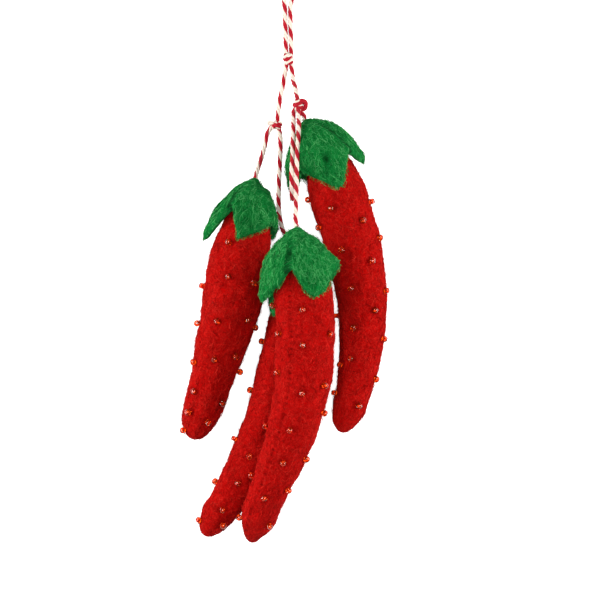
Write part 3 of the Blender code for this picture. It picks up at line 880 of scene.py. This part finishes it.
UNDER_ANGLES = (134.0, 180.0, 226.0)
UNDER_FROM = 28.0
UNDER_TO = 6.0  # how far from the tip they stop
UNDER_STAGGER = 6.6
UNDER_PITCH = 13.4
DEPTH_JITTER, ANGLE_JITTER = 0.3, 1.0
print("beads on the shown side:", {name: len(wanted) for name, wanted in BEADS.items()})

# %% Beads that touch nothing
def bead_spots(name, felt, taken):
    """Where a chilli's beads go, and the ways they stand, clear of caps, neighbours and table."""
    chilli = CHILLIES[name]
    luck = luck_for(name, len(name) * 7)
    whole = length(chilli)
    wanted = list(BEADS[name])
    for column, angle in enumerate(UNDER_ANGLES):
        first = UNDER_FROM + UNDER_STAGGER * (column % 2)
        wanted += [(depth, angle) for depth in np.arange(first, whole - UNDER_TO, UNDER_PITCH)]
    others = [other for key, other in CHILLIES.items() if key != name]
    along = np.linspace(0.0, 1.0, 161)
    spots = []
    for depth, angle in wanted:
        depth += luck.normal(0.0, DEPTH_JITTER)
        angle += luck.normal(0.0, ANGLE_JITTER)
        place, out = on_skin(chilli, depth / whole, math.radians(angle), BEAD_STANDS)
        bodies = min(
            (np.linalg.norm(centre(other, along) - place, axis=1) - body_radius(other, along)).min()
            for other in others
        )
        beads = min((np.linalg.norm(place - bead) for bead in taken), default=math.inf)
        cloth = np.linalg.norm(felt - place, axis=1).min()
        clear = bodies > BEAD_RADIUS + TOUCH_GAP and beads > 2.0 * BEAD_RADIUS + TOUCH_GAP
        if clear and cloth > BEAD_RADIUS + FELT_THICK and place[2] > 0.98 * BEAD_RADIUS:
            spots.append((place, out))
            taken.append(place)
    return spots


felt_everywhere = np.vstack([felt_points(name) for name in CAPS])
taken = []
BEAD_SPOTS = {name: bead_spots(name, felt_everywhere, taken) for name in CHILLIES}
print("beads:", {name: len(spots) for name, spots in BEAD_SPOTS.items()})

# %% [markdown]
# ## The stuffed bodies
# The felt is pulled over its stuffing, so the surface is full but never even: broad soft lumps,
# a fine nap, a dimple under each bead where the thread draws it in, and one seam with its small
# stitches. A cloth simulation would leave firm thick felt as it was, so the relief is worked
# out instead, as heights added along the skin's own outward direction.

# %% The felt's relief
LUMPS = ((0.20, 17.0, 14), (0.09, 5.5, 20), (0.045, 1.9, 30))  # height, wavelength, waves
SEAMS = {"left": 168.0, "back": 176.0, "front": -28.0, "right": 196.0}
STITCH_STEP = 2.3
# Dimples, groove and stitches: width and depth in millimetres, and how much painted shade darkens
# each
DIMPLE_WIDTH, DIMPLE_DEPTH, DIMPLE_PAINTED_SHADE = 1.55, 0.42, 0.45
GROOVE_WIDTH, GROOVE_DEPTH, GROOVE_PAINTED_SHADE = 0.38, 0.16, 0.12
STITCH_WIDTH, STITCH_DEPTH, STITCH_PAINTED_SHADE = 0.8, 0.30, 0.70
RIDGE_AWAY, RIDGE_WIDTH, RIDGE_HEIGHT = 0.95, 0.4, 0.05
FULL_RELIEF_RADIUS = 4.0
AT_ONCE = 20000  # points measured against the beads at one time, to spare memory


def felt_relief(name, points, depth, angle):
    """Height of the felt's relief, and its painted shade: dimples under beads, a stitched seam.

    The height is the lumps' waves, less a bell round each bead's foot, one along the seam and
    one at each stitch, with a low ridge beside the seam.
    """
    height = sum(
        high * waves(points, wavelength, count, ord(name[0]) + number)
        for number, (high, wavelength, count) in enumerate(LUMPS)
    )
    feet = np.array([place - out * BEAD_STANDS for place, out in BEAD_SPOTS[name]])
    flat, dip = points.reshape(-1, 3), np.zeros(height.size)
    for start in range(0, len(flat), AT_ONCE):
        part = slice(start, start + AT_ONCE)
        near = np.linalg.norm(flat[part, None] - feet, axis=-1)
        dip[part] = bell(near, DIMPLE_WIDTH).max(axis=1)
    dip = dip.reshape(height.shape)
    radius = body_radius(CHILLIES[name], depth / length(CHILLIES[name]))
    off = (np.mod(angle - math.radians(SEAMS[name]) + math.pi, math.tau) - math.pi) * radius
    groove = bell(off, GROOVE_WIDTH)
    beat = np.clip(np.cos(math.tau * depth / STITCH_STEP), 0.0, 1.0) ** 4
    stitch = bell(off, STITCH_WIDTH) * beat
    height = height - DIMPLE_DEPTH * dip - GROOVE_DEPTH * groove - STITCH_DEPTH * stitch
    height += RIDGE_HEIGHT * bell(np.abs(off) - RIDGE_AWAY, RIDGE_WIDTH)
    # The second value is painted shade: darker in the dimples under beads, the seam's groove and
    # its stitch dents.
    return height, np.maximum(DIMPLE_PAINTED_SHADE * dip, GROOVE_PAINTED_SHADE * groove + STITCH_PAINTED_SHADE * stitch)


def felt_skin(name, depth, angle):
    """Points on a body's finished felt, the plain skin moved out by its relief.

    The relief fades out where the body is thinner than FULL_RELIEF_RADIUS, at crown and tip.
    """
    chilli = CHILLIES[name]
    plain, out = on_skin(chilli, depth / length(chilli), angle, 0.0)
    radius = body_radius(chilli, depth / length(chilli))
    full = np.clip(radius / FULL_RELIEF_RADIUS, 0.0, 1.0)
    height, painted_shade = felt_relief(name, plain, depth, angle)
    return plain + out * (height * full)[..., None], out, painted_shade


print("seams at degrees:", SEAMS)

# %% Build the bodies
BODY_RINGS = 250
BODY_SIDES = 128

for name, chilli in CHILLIES.items():
    even = np.linspace(0.0, 1.0, BODY_RINGS)
    t = 0.0015 + 0.997 * (0.7 * even + 0.3 * smooth(even))  # rings lie closer near both ends
    angle = math.tau * np.arange(BODY_SIDES) / BODY_SIDES
    depth_grid, angle_grid = np.meshgrid(t * length(chilli), angle, indexing="ij")
    rings, _, painted_shade = felt_skin(name, depth_grid, angle_grid)
    points = np.concatenate((rings.reshape(-1, 3), centre(chilli, np.array((0.0, 1.0)))))
    shade = {"painted_shade": np.append(painted_shade.ravel(), (0.0, 0.0))}
    faces = closed_faces(BODY_RINGS, BODY_SIDES)
    body = put_mesh("body_" + name, points, faces, RED_FELT, shade)
    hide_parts("chilli_" + name)

# %% [markdown]
# ## The glass beads
# Each bead is a short barrel of clear orange-red glass with a hole, sewn on its side by a red
# thread. A torus would have no flat sides, so a bead is a rounded rectangle turned round the hole.
# The glass is real glass to the renderer: over the felt it looks dark red with bright edges, and
# where it stands out past the outline the light comes through and it looks orange.

# %% The beads' shape and glass
BEAD_HALF_WIDTH = 0.85
BEAD_HOLE = 0.36
BEAD_SQUARENESS = 0.75
ROUND_SIDES = 12
PROFILE_SIDES = 8

GLASS, _, _ = new_finish(
    "bead_glass", 0.08, specular=0.32, Base_Color=linear(246, 76, 16), Transmission_Weight=0.92,
    IOR=1.5,
)


def bead_frames(name):
    """Each bead's middle, its hole's direction along the skin, and its outward direction."""
    luck = luck_for(name, 40)
    middles = np.array([place for place, _ in BEAD_SPOTS[name]])
    outs = np.array([out for _, out in BEAD_SPOTS[name]])
    aim = unit(luck.normal(size=outs.shape) * np.array((1.0, 0.6, 1.0)))
    hole = unit(np.cross(outs, aim))
    return middles, hole, outs


def squared(wave):
    """A sine or cosine wave with fuller shoulders, which turns a circle into a rounded square."""
    return np.sign(wave) * np.abs(wave) ** BEAD_SQUARENESS


def bead_points(middles, hole, outs):
    """Barrels: the superellipse of a rounded rectangle, carried round each hole's direction."""
    third = np.cross(hole, outs)
    spin = math.tau * np.arange(ROUND_SIDES)[:, None, None] / ROUND_SIDES
    edge = math.tau * (np.arange(PROFILE_SIDES) + 0.5) / PROFILE_SIDES
    wall = (BEAD_RADIUS - BEAD_HOLE) / 2.0
    from_hole = (BEAD_HOLE + wall + wall * squared(np.cos(edge)))[:, None]
    along_hole = (BEAD_HALF_WIDTH * squared(np.sin(edge)))[:, None]
    middles, hole, outs, third = (v[:, None, None] for v in (middles, hole, outs, third))
    ring = np.cos(spin) * outs + np.sin(spin) * third
    return middles + from_hole * ring + along_hole * hole


def ring_faces():
    """Quads of one closed ring: a grid of places round it that meets itself both ways."""
    place = np.arange(ROUND_SIDES * PROFILE_SIDES).reshape(ROUND_SIDES, PROFILE_SIDES)
    on, up = np.roll(place, -1, axis=0), np.roll(place, -1, axis=1)
    return np.stack((place, on, np.roll(on, -1, axis=1), up), axis=-1).reshape(-1, 4)


print("bead:", 2 * BEAD_RADIUS, "mm across,", len(ring_faces()), "faces")

# %% Build the beads and their threads
THREAD_RADIUS = 0.13
THREAD_REACH = 1.35
THREAD_TINT = 0.35
THREAD_SIDES = 5

for name in CHILLIES:
    middles, hole, outs = bead_frames(name)
    points = bead_points(middles, hole, outs).reshape(-1, 3)
    faces = [repeated(ring_faces(), len(middles), ROUND_SIDES * PROFILE_SIDES)]
    beads = put_mesh("beads_" + name, points, faces, GLASS)
    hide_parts("chilli_" + name)
    # Each thread runs through the hole and dives into the felt at both ends.
    share = np.linspace(-1.0, 1.0, 9)
    sag = 0.05 - 1.25 * np.abs(share) ** 2.2
    thread = middles[:, None] + THREAD_REACH * share[:, None] * hole[:, None]
    thread = thread + sag[:, None] * outs[:, None]
    sideways = np.cross(hole, outs)[:, None]
    points, faces, _ = tubes(thread, THREAD_RADIUS, THREAD_SIDES, sideways, pointed=False)
    tint = {"tint": np.full(len(points), THREAD_TINT)}
    put_mesh("thread_" + name, points, faces, RED_STRANDS, tint)

# %% [markdown]
# ## The green felt caps
# A cap is thick felt with soft cut edges. The drape gives its middle layer; both faces are that
# layer moved out by half the thickness, which falls to nothing round the rim along a quarter
# circle, so the edge is as round as real felt's. A little smoothing takes out the drape's creases.

# %% The caps' grid and folds
CAP_INNER_LINES = 96
EDGE_MARGIN = 1.5
EDGE_STEPS = (0.06, 0.2, 0.42, 0.72, 1.1)
DRAPE_PASSES, WAY_PASSES = 14, 4
# Where two leaves meet, the front one is folded over the one behind. A fold runs from the middle
# along one of the felt's axes (0 or 1), and the leaf on the other axis' positive side lies on top.
FOLDS = {"left": (0,), "back": (), "front": (0,), "right": (0, 1)}
FOLD_STEP, FOLD_SOFT, FOLD_FADE = 2.2, 0.45, 8.0
FOLD_FROM, FOLD_GROWTH = 0.12, 0.45  # as shares of the way from the middle to the cut edge
# Where a cap is tacked down with one stitch, seen from above, in millimetres
TACKS = {"front": (2.2, 27.2), "right": (14.9, 61.9)}
TACK_DEPTH, TACK_WIDTH = 1.5, 1.25
FAR_SIDE = 50.0  # added to a place's distance where the felt faces down, so no tack lands there
CUT_WANDER = 0.28  # how far the hand-cut edge wanders from a straight line


def cap_lines(name):
    """Grid lines across a cap's square: even inside, and close together near the cut edges."""
    half = CAPS[name]["side"] / 2.0
    inner = np.linspace(-half + EDGE_MARGIN, half - EDGE_MARGIN, CAP_INNER_LINES)
    edge = half - np.array(EDGE_STEPS)
    return np.concatenate(((-half,), -edge, inner, edge[::-1], (half,)))


def fold_height(name, flat, half):
    """Height of a cap's folds, and the painted shade at their feet.

    The height is a soft step at each fold, which grows outwards and dies away sideways.
    """
    height, painted_shade = np.zeros(flat.shape[:2]), np.zeros(flat.shape[:2])
    for axis in FOLDS[name]:
        outwards, sideways = flat[..., axis], flat[..., 1 - axis]
        grows = smooth((outwards / half - FOLD_FROM) / FOLD_GROWTH)
        on_top = 0.5 + 0.5 * np.tanh(sideways / FOLD_SOFT)
        on_top = on_top * np.exp(-np.maximum(sideways, 0.0) / FOLD_FADE)
        beside = bell(sideways + 0.9, 0.9)
        height += FOLD_STEP * grows * (on_top - 0.35 * beside)
        # Painted shade along the foot of each fold
        painted_shade = np.maximum(painted_shade, 0.85 * grows * bell(sideways + 0.5, 0.75))
    return height, painted_shade


def smoothed(grid, passes):
    """A grid of points, each moved halfway to the mean of its four neighbours, pass by pass."""
    grid = grid.copy()
    for _ in range(passes):
        inner = (grid[:-2, 1:-1] + grid[2:, 1:-1] + grid[1:-1, :-2] + grid[1:-1, 2:]) / 4.0
        grid[1:-1, 1:-1] += 0.5 * (inner - grid[1:-1, 1:-1])
    return grid

# %% A cap's middle layer and its thickness
def cap_layer(name):
    """A cap's grid lines, middle layer, outward directions, and its painted shade.

    The middle layer is the smoothed drape of a hand-cut square. Its folds rise the way that the
    folded leaf faces, which is the leaf at the grid's positive corner, and its tack goes inwards.
    """
    lines = cap_lines(name)
    half, centre_line = lines[-1], len(lines) // 2
    felt_x, felt_y = np.meshgrid(lines, lines, indexing="ij")
    flat = np.stack((felt_x, felt_y, np.zeros_like(felt_x)), axis=-1)
    seed = ord(name[0]) + 60
    wander = np.stack((waves(flat, 14.0, 8, seed), waves(flat, 14.0, 8, seed + 1)), axis=-1)
    flat[..., :2] += CUT_WANDER * wander * (np.abs(flat[..., :2]) / half) ** 3
    middle = drape(name, flat[..., 0].ravel(), flat[..., 1].ravel()).reshape(flat.shape)
    middle = smoothed(middle, DRAPE_PASSES)
    out = unit(np.cross(np.gradient(middle, axis=0), np.gradient(middle, axis=1)))
    out = unit(smoothed(out, WAY_PASSES))
    crown_way = -ways_at(CHILLIES[name], np.array(0.02))[0]
    out = out * np.sign(out[centre_line, centre_line] @ crown_way)
    height, painted_shade = fold_height(name, flat, half)
    folded_way = unit(out[centre_line:, centre_line:].mean(axis=(0, 1)))
    middle = middle + folded_way * height[..., None]
    if name in TACKS:
        aside = np.linalg.norm(middle[..., :2] - np.array(TACKS[name]), axis=-1)
        aside = aside + FAR_SIDE * (out[..., 2] < 0.0)
        tack = middle.reshape(-1, 3)[np.argmin(aside)]
        dimple = bell(np.linalg.norm(middle - tack, axis=-1), TACK_WIDTH)
        # Painted shade in the tack's dimple
        painted_shade = np.maximum(painted_shade, 0.9 * dimple)
        middle = middle - TACK_DEPTH * out * dimple[..., None]
    return lines, middle, out, painted_shade


def felt_half_thickness(name, lines, middle):
    """Half the felt's thickness: a quarter circle in from the cut edge, with a gentle nap."""
    from_edge = lines[-1] - np.abs(lines)
    nearest = np.minimum(from_edge[:, None], from_edge[None, :])
    into = np.clip(nearest / (FELT_THICK / 2.0), 0.0, 1.0)
    round_edge = np.sqrt(1.0 - (1.0 - into) ** 2)
    seed = ord(name[0]) + 70
    nap = 1.0 + 0.05 * waves(middle, 5.0, 16, seed) + 0.035 * waves(middle, 1.7, 30, seed + 1)
    return FELT_THICK / 2.0 * round_edge * np.clip(nap, 0.8, 1.12)


print("grid of each cap:", {name: (len(cap_lines(name)),) * 2 for name in CAPS})

# %% Build the caps
CAP_LAYERS = {}
for name in CAPS:
    lines, middle, out, painted_shade = cap_layer(name)
    half_thick = felt_half_thickness(name, lines, middle)
    CAP_LAYERS[name] = (lines, middle, out, half_thick, painted_shade)
    count = len(lines)
    upper = middle + out * half_thick[..., None]
    lower = (middle - out * half_thick[..., None])[1:-1, 1:-1]
    points = np.concatenate((upper.reshape(-1, 3), lower.reshape(-1, 3)))
    points[:, 2] = np.maximum(points[:, 2], ABOVE_TABLE)
    # The lower face's rim is the upper face's, so the two close on each other.
    face_up = np.arange(count * count).reshape(count, count)
    face_down = face_up.copy()
    face_down[1:-1, 1:-1] = count * count + np.arange((count - 2) ** 2).reshape((count - 2,) * 2)
    quads = [
        np.stack((side[:-1, :-1], side[1:, :-1], side[1:, 1:], side[:-1, 1:]), axis=-1)
        for side in (face_up, face_down)
    ]
    faces = [np.concatenate((quads[0].reshape(-1, 4), quads[1].reshape(-1, 4)[:, ::-1]))]
    shade = {"painted_shade": np.concatenate((painted_shade.ravel(), painted_shade[1:-1, 1:-1].ravel()))}
    cap = put_mesh("cap_felt_" + name, points, faces, GREEN_FELT, shade)
    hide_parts("cap_" + name)

# %% [markdown]
# ## The loose fibres
# Felt's outline is never clean: fibres lie curled on it and stand out from it. A hair system would
# not survive as a mesh, so every fibre is a thin three-sided tube with pointed ends. On the red
# bodies they are short and fine; on the green caps they are long loose curls, and along the cut
# edges they stick out. Each fibre has its own number, which its colour comes from.

# %% Curled lines and fibres
def curled(start, heading, bend, reach, count):
    """Flat curled lines: the heading turns evenly by bend over each fibre's reach."""
    share = np.linspace(0.0, 1.0, count)
    turn = heading[:, None] + bend[:, None] * share
    step = reach[:, None] / (count - 1)
    moves = np.stack((np.cos(turn), np.sin(turn)), axis=-1) * step[..., None]
    path = np.cumsum(moves, axis=1) - moves
    return start[:, None] + path


def lay_fibres(name, paths, thickness, ups, tint, finish):
    """Thin three-sided tubes with pointed ends, kept above the table, each with its own tint."""
    points, faces, per_fibre = tubes(paths, thickness, 3, ups, pointed=True)
    points[:, 2] = np.maximum(points[:, 2], ABOVE_TABLE)
    put_mesh(name, points, faces, finish, {"tint": np.repeat(tint, per_fibre)})

# %% Fibres on the red bodies
BODY_FIBRES = {"left": 6000, "back": 5200, "front": 6200, "right": 6000}
BODY_FIBRE_POINTS = 7
BODY_FIBRE_REACH = (1.6, 5.0)
BODY_FIBRE_RADIUS = (0.03, 0.07)
BODY_FIBRE_BEND = 2.4
BARE_CROWN, BARE_TIP = 9.0, 0.6
FUZZ_SHARE, FUZZ_HEIGHT, ARCH_HEIGHT = 0.30, (0.25, 0.95), (0.03, 0.16)
BODY_FIBRE_SUNK = 0.05

for name, count in BODY_FIBRES.items():
    chilli = CHILLIES[name]
    luck = luck_for(name, 80)
    whole = length(chilli)
    # Twice too many places are drawn, and fewer are kept where the body is thinner.
    depth = luck.uniform(BARE_CROWN, whole - BARE_TIP, count * 2)
    keep = luck.uniform(0.0, 1.0, count * 2) < body_radius(chilli, depth / whole) / chilli["radius"]
    depth = depth[keep][:count]
    count = len(depth)
    start = np.stack((depth, luck.uniform(0.0, math.tau, count) * chilli["radius"]), axis=1)
    paths = curled(
        start, luck.uniform(0.0, math.tau, count), luck.normal(0.0, BODY_FIBRE_BEND, count),
        luck.uniform(*BODY_FIBRE_REACH, count), BODY_FIBRE_POINTS,
    )
    deep = np.clip(paths[..., 0], 1.0, whole - 0.1)
    share = np.linspace(0.0, 1.0, BODY_FIBRE_POINTS)
    # Fuzz stands up from one end, and the rest lies in low arches.
    fuzz = luck.uniform(0.0, 1.0, count) < FUZZ_SHARE
    top = np.where(fuzz, luck.uniform(*FUZZ_HEIGHT, count), luck.uniform(*ARCH_HEIGHT, count))
    lift = np.where(fuzz[:, None], share**1.3, np.sin(math.pi * share)) * top[:, None]
    lines3d, out, painted_shade = felt_skin(name, deep, paths[..., 1] / chilli["radius"])
    lines3d = lines3d + out * (lift - BODY_FIBRE_SUNK)[..., None]
    # A fibre's tint is its own random tone, darkened by the felt's painted shade at its middle.
    lay_fibres(
        "fibres_" + name, lines3d, luck.uniform(*BODY_FIBRE_RADIUS, (count, 1)), out + 0.2,
        luck.beta(0.8, 0.9, count) * (1.0 - painted_shade[:, BODY_FIBRE_POINTS // 2]),
        RED_STRANDS,
    )

# %% Values of a grid anywhere on the felt
SLOPE_STEP = 1.4


def on_grid(lines, grid, x, y):
    """Values of a grid at any place on the felt, carried on straight past its edges.

    Inside, a value is the mean of the four nearest ones, weighted by how near each is.
    """
    half = lines[-1]
    inside_x, inside_y = np.clip(x, -half, half), np.clip(y, -half, half)

    def read(at_x, at_y):
        i = np.interp(at_x, lines, np.arange(len(lines)))
        j = np.interp(at_y, lines, np.arange(len(lines)))
        low_i, low_j = (np.minimum(v.astype(int), len(lines) - 2) for v in (i, j))
        f, g = (i - low_i)[..., None], (j - low_j)[..., None]
        return (
            grid[low_i, low_j] * (1 - f) * (1 - g) + grid[low_i + 1, low_j] * f * (1 - g)
            + grid[low_i, low_j + 1] * (1 - f) * g + grid[low_i + 1, low_j + 1] * f * g
        )

    here = read(inside_x, inside_y)
    slope_x = (here - read(inside_x - SLOPE_STEP * np.sign(x), inside_y)) / SLOPE_STEP
    slope_y = (here - read(inside_x, inside_y - SLOPE_STEP * np.sign(y))) / SLOPE_STEP
    past_x, past_y = (np.abs(v)[..., None] for v in (x - inside_x, y - inside_y))
    return here + past_x * slope_x + past_y * slope_y

# %% Fibres on the green caps
CAP_FIBRES = {"left": 4300, "back": 1800, "front": 4500, "right": 4300}
CAP_FIBRE_POINTS = 9
CAP_FIBRE_REACH = (2.5, 6.0)
EDGE_FIBRE_REACH = (0.9, 1.9)
CAP_FIBRE_RADIUS = (0.04, 0.085)
CAP_FIBRE_BEND, EDGE_SPREAD = 3.4, 0.9
PAST_EDGE = 0.9
LOOSE_SHARE, LOOSE_HEIGHT, FLAT_HEIGHT = 0.2, (0.2, 0.8), (0.03, 0.22)
CAP_FIBRE_SUNK = 0.04

for name, count in CAP_FIBRES.items():
    lines, middle, out, half_thick, painted_shade = CAP_LAYERS[name]
    half = lines[-1]
    luck = luck_for(name, 90)
    start = luck.uniform(-half + 0.5, half - 0.5, (count, 2))
    heading = luck.uniform(0.0, math.tau, count)
    # The first quarter of them starts beside one of the four cut edges, and heads out over it.
    edge = slice(0, count // 4)
    turn = luck.integers(0, 4, edge.stop) * math.pi / 2.0
    x, y = half - luck.uniform(0.1, 1.0, edge.stop), start[edge, 1]
    start[edge] = np.stack(
        (x * np.cos(turn) - y * np.sin(turn), x * np.sin(turn) + y * np.cos(turn)), axis=1
    )
    heading[edge] = turn + luck.normal(0.0, EDGE_SPREAD, edge.stop)
    reach = luck.uniform(*CAP_FIBRE_REACH, count)
    reach[edge] = luck.uniform(*EDGE_FIBRE_REACH, edge.stop)
    bend = luck.normal(0.0, CAP_FIBRE_BEND, count)
    paths = curled(start, heading, bend, reach, CAP_FIBRE_POINTS)
    inside = np.clip(paths, -half, half)
    x, y = np.moveaxis(inside + np.clip(paths - inside, -PAST_EDGE, PAST_EDGE), -1, 0)
    share = np.linspace(0.0, 1.0, CAP_FIBRE_POINTS)
    loose = luck.uniform(0.0, 1.0, count) < LOOSE_SHARE
    top = np.where(loose, luck.uniform(*LOOSE_HEIGHT, count), luck.uniform(*FLAT_HEIGHT, count))
    lift = np.sin(math.pi * share) * top[:, None] - CAP_FIBRE_SUNK
    skin = on_grid(lines, half_thick[..., None], x, y)[..., 0]
    level = np.maximum(skin, 0.0) + lift
    level[edge] = (level * luck.uniform(-0.9, 1.0, (count, 1)))[edge]
    way = unit(on_grid(lines, out, x, y))
    lines3d = on_grid(lines, middle, x, y) + way * level[..., None]
    halfway = CAP_FIBRE_POINTS // 2
    # Painted shade: a fibre is darker where it lies over a fold's foot or a tack.
    fibre_painted_shade = on_grid(lines, painted_shade[..., None], x[:, halfway], y[:, halfway])[..., 0]
    lay_fibres(
        "cap_fibres_" + name, lines3d, luck.uniform(*CAP_FIBRE_RADIUS, (count, 1)), way + 0.2,
        luck.beta(0.9, 1.2, count) * (1.0 - np.clip(1.2 * fibre_painted_shade, 0.0, 1.0)),
        GREEN_STRANDS,
    )

# %% [markdown]
# ## Table and light
# The photograph is lit from both sides and stands on pure white: the outer flanks are as bright
# as the tops, and each flank that faces a neighbour is dark. Two broad, low lamps do that, with a
# weak one overhead and a pale even sky. Each side lamp is a long strip, because the highlights on
# the beads in the photograph are thin upright arcs. A white table alone would turn grey in the
# shadows between the chillies, so it also glows, but only where the camera or a bead looks at it,
# which leaves the light on the felt as the lamps make it.

# %% The table
TABLE_HALF = 1500.0
TABLE_GLOW = 0.85
WHITE = (1.0, 1.0, 1.0, 1.0)

table_finish, table_tree, table_shader = new_finish(
    "table", 0.9, Base_Color=linear(232, 232, 232), Emission_Color=WHITE
)
rays = table_tree.nodes.new("ShaderNodeLightPath").outputs
seen = arithmetic(table_tree, "MAXIMUM", rays["Is Camera Ray"], rays["Is Transmission Ray"])
glow = arithmetic(table_tree, "MULTIPLY", seen, TABLE_GLOW)
feed(table_tree, table_shader, Emission_Strength=glow)
table_mesh = bpy.data.meshes.new("table")
corners = TABLE_HALF * MM * np.array(((-1, -1, 0), (1, -1, 0), (1, 1, 0), (-1, 1, 0)))
table_mesh.from_pydata(corners.tolist(), [], [(0, 1, 2, 3)])
table_mesh.materials.append(table_finish)
in_scene("table", table_mesh)
print("table:", round(2 * TABLE_HALF), "mm square")

# %% Lamps and sky
# Each lamp's place, the point it is turned towards, its two sides in millimetres, and its watts
LAMPS = {
    "left": ((-630, 40, 240), (0, 40, 10), 800, 200, 7.2),
    "right": ((630, 60, 260), (0, 60, 10), 800, 200, 6.3),
    "top": ((40, 60, 900), (0, 0, 0), 300, 300, 5.6),
}
SKY_STRENGTH = 0.15

for name, (place, aim, long_mm, wide_mm, watts) in LAMPS.items():
    data = bpy.data.lights.new(name, "AREA")
    data.shape = "RECTANGLE"
    data.size, data.size_y = long_mm * MM, wide_mm * MM
    data.energy = watts
    lamp = in_scene(name, data)
    lamp.location = Vector(place) * MM
    lamp.rotation_euler = (Vector(aim) - Vector(place)).to_track_quat("-Z", "Y").to_euler()
sky = bpy.data.worlds.new("sky")
sky.use_nodes = True
feed(sky.node_tree, sky.node_tree.nodes["Background"], Color=WHITE, Strength=SKY_STRENGTH)
bpy.context.scene.world = sky
bpy.context.scene.view_settings.view_transform = "Standard"
print("lamps in watts:", {name: lamp[-1] for name, lamp in LAMPS.items()})
